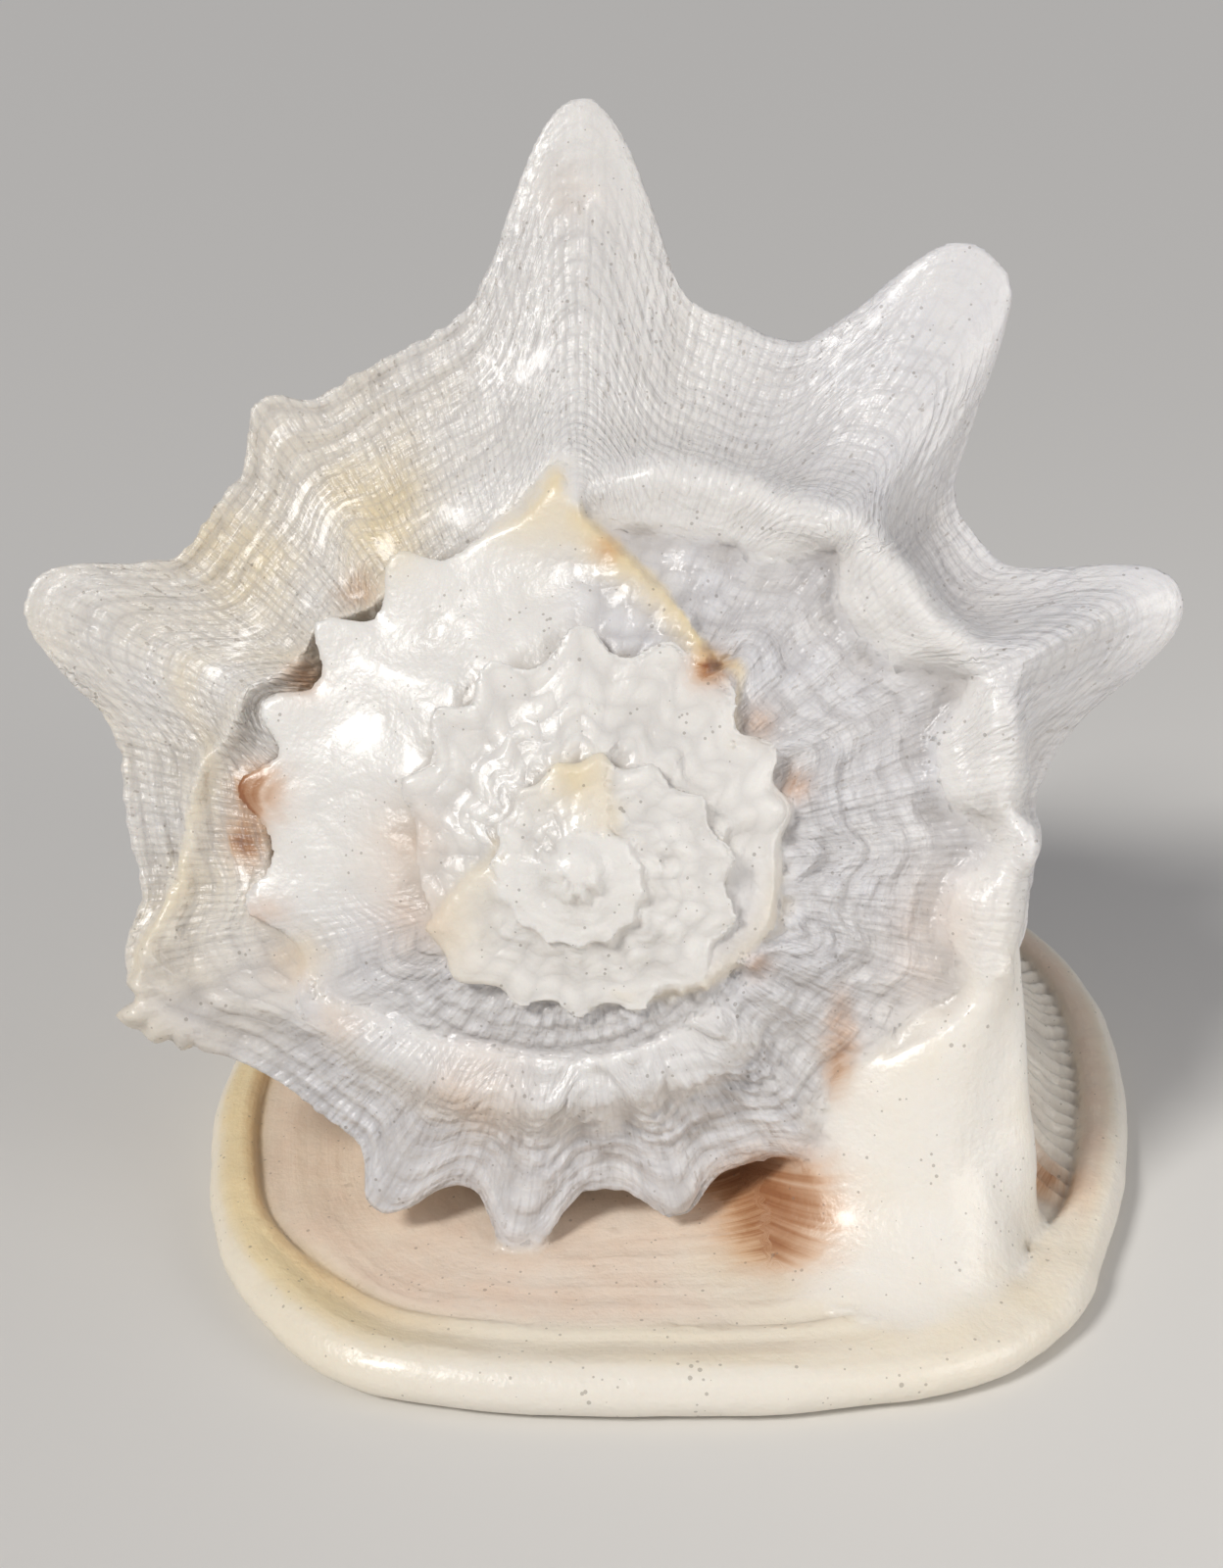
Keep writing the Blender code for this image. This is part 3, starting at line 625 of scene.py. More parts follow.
def grow_together(pieces, name):
    """Joins the pieces and grows one closed skin over them."""
    bpy.ops.object.select_all(action="DESELECT")
    for piece in pieces:
        piece.select_set(True)
    bpy.context.view_layer.objects.active = pieces[0]
    bpy.ops.object.join()
    piece = pieces[0]
    piece.name = name
    apply_modifier(piece, "REMESH", mode="VOXEL", voxel_size=VOXEL * MM)
    apply_modifier(piece, "SMOOTH", factor=0.5, iterations=SMOOTH_ROUNDS)
    return piece


def nearness(points, places):
    """1 in the middle of the nearest of the places, falling to 0 over that place's reach."""
    weight = np.zeros(len(points))
    for x, y, z, reach in places:
        weight = np.maximum(weight, np.exp(-((points - [x, y, z]) ** 2).sum(1) / reach**2))
    return weight


def soften(piece, places, rounds):
    """Smooths the skin near the places, most in their middles, so that the bodies there flow together."""
    weight = nearness(coordinates(piece), places)
    group = piece.vertex_groups.new(name="soft")
    for k in np.flatnonzero(weight > SOFT_LEAST).tolist():
        group.add([k], weight[k], "REPLACE")
    apply_modifier(piece, "SMOOTH", factor=0.5, iterations=rounds, vertex_group="soft")
    piece.vertex_groups.remove(piece.vertex_groups["soft"])


def grid_slopes(grid):
    """Change of a grid of points or values from one row to the next, and from one column to the next."""
    return np.gradient(grid, axis=0), np.gradient(grid, axis=1)


def plain_grid(rings):
    """Row and column numbers of a grid, for a body that has no growth lines of its own."""
    rows, columns = np.indices(rings.shape[:2])
    return rows.astype(float), columns.astype(float)


def growth_table(sheets):
    """Search tree over every grid point of the sheets, and a table of what each grid point knows."""
    tables = []
    for number, surface, first, second in sheets:
        flat = surface.reshape(-1, 3)
        columns = [np.full((len(flat), 1), number), flat]
        for grid in (surface, first[..., None], second[..., None]):
            columns += [g.reshape(len(flat), -1) for g in grid_slopes(np.asarray(grid, float))]
        columns += [first.reshape(-1, 1), second.reshape(-1, 1)]
        tables.append(np.concatenate(columns, axis=1))
    table = np.concatenate(tables)
    tree = kdtree.KDTree(len(table))
    for k, p in enumerate(table[:, 1:4].tolist()):
        tree.insert(p, k)
    tree.balance()
    return tree, table


def look_up(points, tree, table):
    """For each point its nearest sheet's number and its two coordinates there, read between grid points."""
    nearest = np.fromiter((tree.find(p)[1] for p in points.tolist()), int, len(points))
    row = table[nearest]
    away = points - row[:, 1:4]
    u, v = row[:, 4:7], row[:, 7:10]
    uu, uv, vv = (u * u).sum(1), (u * v).sum(1), (v * v).sum(1)
    au, av = (away * u).sum(1), (away * v).sum(1)
    scale = np.maximum(uu * vv - uv * uv, 1e-9)
    a = np.clip((au * vv - av * uv) / scale, -READ_PAST, READ_PAST)
    b = np.clip((av * uu - au * uv) / scale, -READ_PAST, READ_PAST)
    first = row[:, 14] + a * row[:, 10] + b * row[:, 11]
    second = row[:, 15] + a * row[:, 12] + b * row[:, 13]
    return row[:, 0].astype(int), first, second


def between(value, low, high, fade):
    """1 between low and high, falling to 0 over the fade outside them."""
    return smooth_step(value, low - fade, low) * (1 - smooth_step(value, high, high + fade))


def wave(value):
    """Wave from 0 to 1 with its crests at whole numbers."""
    return 0.5 + 0.5 * np.cos(2 * math.pi * value)


def hump(distance, width):
    """1 at no distance, falling to 0 on both sides over about the width."""
    return np.exp(-((distance / width) ** 2))


def off_place(points, radius, angle):
    """How far each point lies across and up from a radius and clockwise angle about the axis."""
    r, phi, _ = to_axis(points)
    x = r * np.sin(np.radians(phi)) - radius * math.sin(math.radians(angle))
    y = r * np.cos(np.radians(phi)) - radius * math.cos(math.radians(angle))
    return x, y


def near(points, radius, angle, size):
    """1 at a radius and clockwise angle about the axis, falling to 0 over the size."""
    x, y = off_place(points, radius, angle)
    return np.exp(-(x * x + y * y) / (size * size))


def pattern_size(angle):
    """Size of the pattern at a growth angle, against its size at the radius where it is stated."""
    return (smooth_curve(SHOULDER_RADIUS, angle) / PITCH_RADIUS) ** PITCH_POWER


def pattern_steps(angle):
    """How many pattern steps the shell has grown at each angle. The steps widen as the whorl does."""
    angles = np.arange(FIRST_ANGLE, LAST_ANGLE + 1)
    radius = smooth_curve(SHOULDER_RADIUS, angles)
    counts = np.cumsum(np.radians(1) * radius / (CORD_PITCH * pattern_size(angles)))
    return np.interp(angle, angles, counts)


def pattern_rows(angle, along):
    """How many cords lie between the shoulder and each point."""
    return along / (CORD_PITCH * pattern_size(angle))


def past_last_turn(points, angle):
    """How far outside the shoulder of the turn before each point lies."""
    return to_axis(points)[0] - smooth_curve(SHOULDER_RADIUS, angle - 360)


def whorl_relief(points, angle, along):
    """Beads, cords, lumps, growth lines and folds of the whorls, as heights in millimetres."""
    radius = smooth_curve(SHOULDER_RADIUS, angle)
    step = pattern_steps(angle)
    row = pattern_rows(angle, along)
    bend = noise_at(3, step * 0.4, row * 0.4)
    cords = wave(row + 0.25 * bend)
    beads = cords * wave(step * 0.8 + 0.5 * np.round(row) + 0.2 * bend)
    lumps = noise_at(5, step * 0.55, row * 0.7 + 0.3 * bend)
    lines = noise_at(7, step * 1.9, row * 0.22)
    folds = noise_at(11, step * 0.42, row * 0.10)
    patches = 0.5 + 0.5 * noise(points / 7, 43)
    on_ramp = between(along, *RAMP_SPAN, 2.0)

    # The spire's turns, from the tip outwards, and the front of the turn below them.
    height = (0.3 * (cords - 0.5) * patches + 0.65 * lumps) * on_ramp * between(angle, *CORDED, 20)
    height += (0.7 * beads * (0.5 + patches) + 0.2 * lumps) * on_ramp * between(angle, *BEADED, 14)
    height += 0.3 * lumps * on_ramp * between(angle, *WORN_SMOOTH, 14)
    height += (0.95 * lumps + 0.6 * patches * (beads - 0.3)) * (on_ramp * between(angle, *LUMPY, 25))
    front = between(angle, *FRONT, 12) * between(along, -26, 12, 4)
    height += (0.3 * (cords - 0.5) * patches + 0.25 * lumps + 0.45 * patches * beads) * front
    pleats = between(angle, *PLEATED, 10) * between(along, -16, 3, 3)
    height += 0.7 * (wave(row * 0.9 + 0.1 * bend) - 0.5) * pleats

    # The newest turn, which is smoother on its horns and more folded on its right side.
    horn = smooth_step(to_axis(points)[0] - radius, 4, 18) * between(along, *HORN_SPAN, 10)
    newest = smooth_step(angle, -110, -95) * (1 - 0.75 * horn)
    height += (0.42 * folds + 0.13 * lines + 0.12 * (cords - 0.5)) * newest
    height += (0.55 * folds + 0.35 * lumps) * (newest * between(angle, 15, 140, 20))
    height += newest * smooth_step(along, 6, 20) * (0.5 * (wave(row * 0.5) - 0.5) + 0.3 * folds)

    # The keel along its shoulder at the left, with a groove and small knobs outside it.
    keel = between(angle, -92, 2, 10) * (1 - 0.7 * horn)
    height += keel * hump(along + 7, 1.3)
    height -= keel * 0.9 * hump(along + 4.4, 1.5)
    height += keel * 0.9 * patches * (wave(step * 0.6 + 0.4 * bend) - 0.5) * between(along, -3.5, 5, 2)
    height += keel * 0.3 * (cords - 0.5) * between(along, -22, -9, 4)

    # The rope-like crest of the rolled band, and the scar on the top horn.
    crest = past_last_turn(points, angle) - smooth_curve(BAND_PLACE, angle) - 2
    rolled = between(angle, 12, 122, 12) + 0.7 * between(angle, -218, -122, 14)
    height += ROPE_HEIGHT * rolled * hump(crest, ROPE_WIDTH) * (0.75 + 0.5 * patches)
    on_newest = angle > NEWEST_FROM
    height -= near(points, *SCAR) * on_newest * SCAR_DEPTH * np.abs(noise(points / 2.6, 59))
    clear_of_start = smooth_step(along, -0.9 * radius, -0.5 * radius)
    return height * np.where(angle < -360, 1.0, 0.4 + 0.6 * clear_of_start)


def fan_relief(points):
    """Folds that spread from the pit behind the oldest shoulder knob on the left."""
    x, y = off_place(points, *FAN_PIT)
    away = np.hypot(x, y)
    folds = np.cos(FAN_FOLDS * np.arctan2(y, x)) * between(away, 3, 14, 3)
    return 0.8 * folds * smooth_step(-x, -2, 3) - 1.2 * hump(away, 2.2)


def rim_width(points):
    """Width of the rolled rim up to the groove inside it, wider at the front."""
    return 12 + 8 * smooth_step(-points[:, 1], 60, 110)


def rim_relief(points, around, across):
    """Growth lines along the rim, the groove inside it, and ribs on the back of the outer lip."""
    inner = rim_width(points)
    lines = noise_at(13, points[:, 0] * 0.02, points[:, 1] * 0.02, across * 0.9)
    top = smooth_step(across, 1, 4)
    height = 0.22 * lines * top
    height -= 0.9 * hump(across - inner, 1.3) * top
    height += 0.5 * between(across, inner - 4.5, inner - 1.5, 1.0) * top
    right = smooth_step(points[:, 0], 60, 85) * between(points[:, 1], -60, 70, 12)
    ribs = wave(around / RIB_SPACING + 0.3 * noise_at(17, around * 0.1, across * 0.1))
    height += RIB_HEIGHT * (ribs - 0.4) * right * between(across, inner + 1.5, 40, 3)
    return height


def relief(points, kind, first, second):
    """Height of the fine relief at each point: worn unevenness everywhere, then each body's own."""
    height = 0.30 * noise(points / 15, 19) + 0.16 * noise(points / 6, 23) + 0.07 * noise(points / 2.6, 29)
    height += np.where(kind == WHORL, whorl_relief(points, first, second) + fan_relief(points), 0)
    height += np.where(kind == RIM, rim_relief(points, first, second), 0)
    return height


def split_faces(piece, chosen):
    """Divides the faces whose points are all chosen, so that small beads have enough points."""
    mesh = piece.data
    only(piece)
    mesh.vertices.foreach_set("select", np.zeros(len(mesh.vertices), bool))
    mesh.edges.foreach_set("select", np.zeros(len(mesh.edges), bool))
    faces = [all(chosen[v] for v in face.vertices) for face in mesh.polygons]
    mesh.polygons.foreach_set("select", faces)
    bpy.ops.object.mode_set(mode="EDIT")
    bpy.ops.mesh.select_mode(type="FACE")
    bpy.ops.mesh.subdivide(number_cuts=1, smoothness=0.0)
    bpy.ops.object.mode_set(mode="OBJECT")


def point_normals(piece):
    normals = np.empty(len(piece.data.vertices) * 3)
    piece.data.vertex_normals.foreach_get("vector", normals)
    return normals.reshape(-1, 3)


def lift_skin(piece, height):
    """Moves every point of a piece along its normal by its height."""
    place_points(piece, coordinates(piece) + point_normals(piece) * height[:, None])


def edge_ends(piece):
    ends = np.empty(len(piece.data.edges) * 2, int)
    piece.data.edges.foreach_get("vertices", ends)
    return ends.reshape(-1, 2)


def spread_out(ends, values, rounds):
    """Evens values out with those of the neighbouring points, a number of times."""
    here, there = ends.T
    count = np.ones(len(values))
    np.add.at(count, here, 1)
    np.add.at(count, there, 1)
    for _ in range(rounds):
        total = values.copy()
        np.add.at(total, here, values[there])
        np.add.at(total, there, values[here])
        values = total / count
    return values


def even_jumps(ends, height):
    """Heights evened out round the places where they jump, as where two whorls meet, and kept elsewhere."""
    jump = abs(height[ends[:, 0]] - height[ends[:, 1]]) > LARGEST_STEP
    beside = np.zeros(len(height))
    beside[ends[jump].ravel()] = 1
    weight = np.clip(4 * spread_out(ends, beside, 5), 0, 1)
    return height + weight * (spread_out(ends, height, 14) - height)


def clear_of_seams(ends, kind, step, row):
    """0 beside a seam, where one whorl or body meets another, and 1 away from it."""
    here, there = ends.T
    other_turn = (abs(step[here] - step[there]) > SEAM_STEPS) | (abs(row[here] - row[there]) > SEAM_STEPS)
    seam = (kind[here] != kind[there]) | other_turn
    clear = np.ones(len(kind))
    clear[ends[seam].ravel()] = 0
    reached = clear.copy()
    np.minimum.at(reached, here, clear[there])
    np.minimum.at(reached, there, clear[here])
    return reached * spread_out(ends, reached, 1)


def hollow_shade(piece, points, ends):
    """How far each point lies in a hollow of the skin, from 0 up, for the shade painted into the hollows."""
    normals = point_normals(piece)
    depth = np.zeros(len(points))
    count = np.zeros(len(points))
    for here, there in ((0, 1), (1, 0)):
        away = points[ends[:, there]] - points[ends[:, here]]
        rise = (away * normals[ends[:, here]]).sum(1) / np.maximum(np.linalg.norm(away, axis=1), 1e-6)
        np.add.at(depth, ends[:, here], rise)
        np.add.at(count, ends[:, here], 1)
    depth /= np.maximum(count, 1)
    fine = spread_out(ends, depth, 2)
    broad = spread_out(ends, fine, HOLLOW_ROUNDS)
    return np.clip(fine / 0.35, 0, 0.6) + np.clip(broad / 0.22, 0, 0.6)


def from_varix(angle, along):
    """How far each point lies before the nearest old lip's edge, and a large number where none is."""
    radius = smooth_curve(SHOULDER_RADIUS, angle)
    before_turn = smooth_curve(SHOULDER_RADIUS, angle - 360)
    share = np.clip(1 + along / np.maximum(radius - before_turn, 5), 0, 1)
    nearest = np.full(len(angle), FAR_AWAY)
    for at_shoulder, at_suture, _ in VARICES:
        edge = at_suture + (at_shoulder - at_suture) * share**VARIX_SLANT
        before = np.radians(edge - angle) * radius
        nearest = np.where((before > -1) & (before < nearest), before, nearest)
    return nearest


def spotted(points, spots):
    """Sum of the spots at each point. A spot is a radius, a clockwise angle, a reach and a strength."""
    return sum(weight * near(points, radius, angle, reach) for radius, angle, reach, weight in spots)


def stained(points):
    """Brown stains on the shield and the callus, streaked from side to side."""
    streaks = 0.5 + 0.5 * noise(points / (8.0, 1.8, 2.2), 53)
    brown = np.zeros(len(points))
    for x, y, z, width, depth, weight in STAINS:
        off = ((points[:, 0] - x) / width) ** 2 + ((points[:, 1] - y) / depth) ** 2
        off = off + ((points[:, 2] - z) / STAIN_HEIGHT) ** 2
        brown += weight * np.exp(-off * off) * (0.5 + 0.5 * streaks)
    return brown


def painted_cool_shade(angle, along, rope):
    """Where cool bluish-grey shade is painted into the lime's colour: on the ribbed ramps and the newest
    turn, and less on the rolled band.
    """
    cool_shade = 0.7 * between(angle, -350, -112, 20) * between(along, -60, 4, 4) * (1 - 0.6 * rope)
    cool_shade = np.maximum(cool_shade, 0.6 * between(angle, -620, -470, 20) * between(along, -60, 0, 3))
    right = smooth_step(angle, 5, 30) * between(along, -60, 200, 4)
    cool_shade = np.maximum(cool_shade, 0.6 * right * (1 - 0.7 * rope))
    return np.maximum(cool_shade, 0.2 * smooth_step(angle, -110, -90))


def woven_parts(angle, lip, horn, rope):
    """Where threads and cords cross: most on the newest turn, less on its horns, band and old lips."""
    woven = smooth_step(angle, -112, -95) + 0.7 * between(angle, -330, -130, 20)
    woven += 0.5 * between(angle, -600, -470, 20)
    return woven * (1 - 0.8 * lip) * (1 - 0.8 * horn) * (1 - 0.55 * rope) + 0.06


def beaded_parts(angle, along, lip, rope):
    """Where rows of beads stand on the whorls, clear of the old lips and the rolled band."""
    beads = between(angle, -600, -480, 15) + 0.55 * between(angle, -1150, -600, 15)
    beads += 0.12 * between(angle, -480, -375, 15) + 0.9 * between(angle, -350, -112, 20)
    beads += 0.35 * between(angle, -90, 0, 10) * between(along, -30, 4, 4)
    return beads * (1 - lip) * (1 - 0.7 * rope) * between(along, -200, 3, 3)


def paint(piece, points, kind, first, second):
    """Stores where each colour of the shell and each painted shade lies, and the pattern steps that fine
    lines follow.
    """
    whorl = kind == WHORL
    rim = kind == RIM
    angle = np.where(whorl, first, 0.0)
    along = np.where(whorl, second, 0.0)
    step = np.where(whorl, pattern_steps(angle), points[:, 0] / 6)
    row = np.where(whorl, pattern_rows(angle, along), second / 1.3)
    patch = 0.5 + 0.5 * noise(points / 9, 31)
    fine = 0.5 + 0.5 * noise(points / 3, 37)
    bands = 0.5 + 0.5 * noise_at(41, first * 0.004, second * 0.55)
    ends = edge_ends(piece)
    clear = clear_of_seams(ends, kind, step, row)

    # Parts of the shell that colours keep to or leave out.
    past_band = past_last_turn(points, angle)
    rope = np.maximum(smooth_step(angle, -5, 15), 0.8 * between(angle, -220, -120, 15) * (past_band < 10))
    rope *= 1 - smooth_step(past_band, 5, 13)
    past_shoulder = to_axis(points)[0] - smooth_curve(SHOULDER_RADIUS, angle)
    horn = smooth_step(past_shoulder, 9, 24) * between(along, *HORN_SPAN, 10)
    callus = nearness(points, [place for place in SOFT_PLACES if place[1] < 0])
    off_callus = np.clip(1.5 * callus, 0, 1)
    lip = hump(from_varix(angle, along), 12.0) * whorl
    face = whorl * between(along, -90, 8, 6)
    left = 1 - smooth_step(points[:, 0], -70, -20)
    right = smooth_step(points[:, 0], 60, 90)
    share = second / rim_width(points)

    cream = 0.8 * lip * (angle < -200) * (0.5 + 0.5 * patch) + 0.3 * lip
    cream *= 1 - 0.55 * (angle < -560)
    cream += 0.35 * whorl * between(angle, -110, -25, 20) * patch
    cream += spotted(points, [(*spot, 0.8) for spot in YELLOW_SPOTS]) * face * (0.4 + 0.6 * fine)
    cream += rim * between(share, 0.30, 0.95, 0.12) * (0.35 + 0.65 * left) * (0.35 + 0.65 * bands)
    cream *= 1 - 0.8 * rim * off_callus
    cream += rim * (0.22 + 0.25 * left) + 0.4 * callus * (0.5 + 0.5 * noise(points / (2.2, 2.2, 12.0), 47))

    plate = rim * smooth_step(share, 0.95, 1.1) * (1 - smooth_step(points[:, 0], 25, 60))
    tan = plate * (0.65 + 0.35 * bands)
    tan += rim * right * between(share, 0.5, 0.85, 0.15) * 0.9
    tan += spotted(points, [(*spot, 0.9) for spot in PEACH_SPOTS]) * face * (0.4 + 0.6 * patch)
    tan *= 1 - 0.9 * off_callus
    tan += 0.5 * whorl * near(points, *SCAR) * (angle > NEWEST_FROM) * fine

    brown = 0.6 * rim * left * between(share, 0.74, 0.95, 0.08) * (0.4 + 0.6 * bands)
    brown += spotted(points, BROWN_GROOVES) * face * (0.4 + 0.6 * fine) + stained(points)

    layers = {
        "woven": np.where(whorl, woven_parts(angle, lip, horn, rope), 0.05) * clear,
        "beads": beaded_parts(angle, along, lip, rope) * whorl * clear,
        "cool_shade": painted_cool_shade(angle, along, rope) * whorl,
        "cream": cream,
        "tan": tan,
        "brown": brown,
        "hollow": hollow_shade(piece, points, ends),
    }
    for name, values in layers.items():
        values = spread_out(ends, np.clip(values, 0, 1), COLOUR_ROUNDS)
        stored = piece.data.attributes.new(name, "FLOAT", "POINT")
        stored.data.foreach_set("value", values.astype(np.float32))
    stored = piece.data.attributes.new("growth", "FLOAT_VECTOR", "POINT")
    steps = np.stack([step, row, np.where(rim, 9 + points[:, 1] / 150, 0.0)], axis=-1)
    stored.data.foreach_set("vector", steps.astype(np.float32).ravel())


def colour(hex_code):
    """Linear colour of an sRGB hex code."""
    parts = [int(hex_code[i : i + 2], 16) / 255 for i in (1, 3, 5)]
    linear = [c / 12.92 if c <= 0.04045 else ((c + 0.055) / 1.055) ** 2.4 for c in parts]
    return (*linear, 1.0)


def blank_material(name):
    material = bpy.data.materials.new(name)
    material.use_nodes = True
    material.node_tree.nodes.clear()
    return material, material.node_tree


def add_node(tree, kind, inputs=(), output=0, **settings):
    """Adds a node with its settings and its inputs, each a value or a socket to link. Gives one output."""
    node = tree.nodes.new(kind)
    for name, value in settings.items():
        setattr(node, name, value)
    for name, value in dict(inputs).items():
        if isinstance(value, bpy.types.NodeSocket):
            tree.links.new(value, node.inputs[name])
        else:
            node.inputs[name].default_value = value
    return node.outputs[output] if len(node.outputs) else None


def shell_lime():
    """Aragonite of a sea shell, grown and then worn by the sea: a glossy off-white with a soft depth, cream
    and peach on the glaze, and tan-brown where the lip met the knobs.
    Cool grey shade is painted into the ribbed parts, and darker shade into the hollows and the gaps between
    threads and beads."""
    material, tree = blank_material("sea_shell_aragonite")
    maths = "ShaderNodeMath"
    place = add_node(tree, "ShaderNodeTexCoord", output="Object")
    growth = add_node(tree, "ShaderNodeAttribute", output="Vector", attribute_name="growth")
    layer = {
        name: add_node(tree, "ShaderNodeAttribute", output="Fac", attribute_name=name)
        for name in ("woven", "beads", "cool_shade", "cream", "tan", "brown", "hollow")
    }
    mottle = add_node(tree, "ShaderNodeTexNoise", {"Vector": place, "Scale": MOTTLE_SCALE, "Detail": 4.0})
    grain = add_node(tree, "ShaderNodeTexNoise", {"Vector": place, "Scale": GRAIN_SCALE, "Detail": 3.0})
    drawn_out = [
        add_node(tree, "ShaderNodeMapping", {"Vector": growth, "Scale": (across, along, 3.0)})
        for across, along in (THREADS_IN_STEP, CORDS_IN_STEP, BANDS_IN_STEP, BEADS_IN_STEP, DASHES_IN_STEP)
    ]
    threads, cords, bands = (
        add_node(tree, "ShaderNodeTexNoise", {"Vector": spot, "Scale": 1.0, "Detail": 2.0})
        for spot in drawn_out[:3]
    )
    thread_waves, cord_waves = (
        add_node(
            tree,
            "ShaderNodeTexWave",
            {"Vector": growth, "Scale": scale, "Distortion": 3.6, "Detail": 2.0, "Detail Scale": 1.3},
            output="Fac",
            bands_direction=direction,
        )
        for scale, direction in ((THREAD_SCALE, "X"), (CORD_SCALE, "Y"))
    )
    off_bead, off_dash, off_speck = (
        add_node(tree, "ShaderNodeTexVoronoi", {"Vector": spot, "Scale": scale, "Randomness": randomness})
        for spot, scale, randomness in (
            (drawn_out[3], 1.0, 0.5),
            (drawn_out[4], 1.0, 1.0),
            (place, SPECK_SCALE, 1.0),
        )
    )

    # Small pits and short dashes of dirt, largest where the mottle or the grain is high.
    speck_size = add_node(tree, maths, {0: mottle, 1: 0.55, 2: -0.19}, operation="MULTIPLY_ADD")
    speck = add_node(tree, maths, {0: off_speck, 1: speck_size}, operation="LESS_THAN")
    dash_size = add_node(tree, maths, {0: grain, 1: 0.8, 2: -0.29}, operation="MULTIPLY_ADD")
    dash = add_node(tree, maths, {0: off_dash, 1: dash_size}, operation="LESS_THAN")
    dashes = add_node(tree, maths, {0: dash, 1: layer["woven"]}, operation="MULTIPLY")

    # Growth bands in the stains, and painted shade in the gaps between the threads and the beads.
    varied = add_node(tree, maths, {0: mottle, 1: 0.35}, operation="ADD", use_clamp=True)
    streaky = add_node(tree, maths, {0: bands, 1: 0.4}, operation="ADD")
    streaks = add_node(tree, maths, {0: layer["brown"], 1: streaky}, operation="MULTIPLY", use_clamp=True)
    deep = add_node(tree, maths, {0: streaks, 1: 1.8, 2: -1.0}, operation="MULTIPLY_ADD", use_clamp=True)
    thinnest = add_node(tree, maths, {0: threads, 1: cords}, operation="MINIMUM")
    thin = add_node(tree, maths, {0: thinnest, 1: -5.0, 2: 2.35}, operation="MULTIPLY_ADD", use_clamp=True)
    lowest = add_node(tree, maths, {0: thread_waves, 1: cord_waves}, operation="MINIMUM")
    dips = add_node(tree, maths, {0: lowest, 1: -3.0, 2: 0.9}, operation="MULTIPLY_ADD", use_clamp=True)
    open_weave = add_node(tree, maths, {0: thin, 1: 0.5, 2: dips}, operation="MULTIPLY_ADD")
    weave_gap_shade = add_node(tree, maths, {0: open_weave, 1: layer["woven"]}, operation="MULTIPLY", use_clamp=True)
    apart = add_node(tree, maths, {0: off_bead, 1: 3.0, 2: -0.96}, operation="MULTIPLY_ADD", use_clamp=True)
    bead_gap_shade = add_node(tree, maths, {0: apart, 1: layer["beads"]}, operation="MULTIPLY", use_clamp=True)

    # Colours laid over each other: where each lies, how much of it is left there, and its hex code.
    skin = colour("#F4F1EC")
    coats = [
        # Painted cool grey shade on the ribbed ramps and the newest turn.
        (layer["cool_shade"], varied, "#D9D9DF"),
        (layer["cream"], 1.0, "#F2DEB2"),
        (layer["tan"], varied, "#E9D0BA"),
        (streaks, 1.0, "#D2944F"),
        (deep, 1.0, "#8A5033"),
        # Painted shade in the hollows of the skin.
        (layer["hollow"], 0.72, "#938473"),
        # Painted shade in the gaps between the threads and between the beads.
        (weave_gap_shade, 0.26, "#A9A6A8"),
        (bead_gap_shade, 0.4, "#A5A09F"),
        (dashes, 0.4, "#948778"),
        (speck, 0.45, "#7A7064"),
    ]
    for where, share, coat in coats:
        cover = add_node(tree, maths, {0: where, 1: share}, operation="MULTIPLY", use_clamp=True)
        layers = {0: cover, 6: skin, 7: colour(coat)}
        skin = add_node(tree, "ShaderNodeMix", layers, output=2, data_type="RGBA")

    # Fine relief: the crossed threads and cords, then grain, beads and the unevenness of worn lime.
    both_waves = add_node(tree, maths, {0: thread_waves, 1: cord_waves}, operation="ADD")
    unevenness = add_node(tree, maths, {0: mottle, 1: 0.22, 2: 0.088}, operation="MULTIPLY_ADD")
    uneven = add_node(tree, maths, {0: both_waves, 1: unevenness}, operation="MULTIPLY")
    crossed = add_node(tree, maths, {0: threads, 1: cords}, operation="ADD")
    weave = add_node(tree, maths, {0: crossed, 1: uneven}, operation="ADD")
    weave = add_node(tree, maths, {0: weave, 1: layer["woven"]}, operation="MULTIPLY")
    domes = add_node(tree, maths, {0: 0.5, 1: off_bead}, operation="SUBTRACT")
    domes = add_node(tree, maths, {0: domes, 1: layer["beads"]}, operation="MULTIPLY")
    height = add_node(tree, maths, {0: weave, 1: 0.7}, operation="MULTIPLY")
    for part, share in ((grain, 0.2), (domes, 1.1), (mottle, 0.5)):
        height = add_node(tree, maths, {0: part, 1: share, 2: height}, operation="MULTIPLY_ADD")
    bump = add_node(tree, "ShaderNodeBump", {"Height": height, "Strength": 0.8, "Distance": FINE_DEPTH * MM})
    sheen = add_node(tree, maths, {0: mottle, 1: 0.24, 2: 0.24}, operation="MULTIPLY_ADD")
    surface = add_node(
        tree,
        "ShaderNodeBsdfPrincipled",
        {
            "Base Color": skin,
            "Roughness": sheen,
            "IOR": 1.53,
            "Subsurface Weight": 0.12,
            "Subsurface Radius": (1.0, 0.75, 0.55),
            "Subsurface Scale": GLOW_DEPTH * MM,
            "Coat Weight": 0.22,
            "Coat Roughness": 0.16,
            "Normal": bump,
        },
    )
    add_node(tree, "ShaderNodeOutputMaterial", {"Surface": surface})
    return material


def matt_board():
    """Painted board under the shell: a plain pale floor with no gloss."""
    material, tree = blank_material("matt_board")
    board = add_node(tree, "ShaderNodeBsdfPrincipled", {"Base Color": colour("#E2E0DC"), "Roughness": 0.6})
    add_node(tree, "ShaderNodeOutputMaterial", {"Surface": board})
    return material


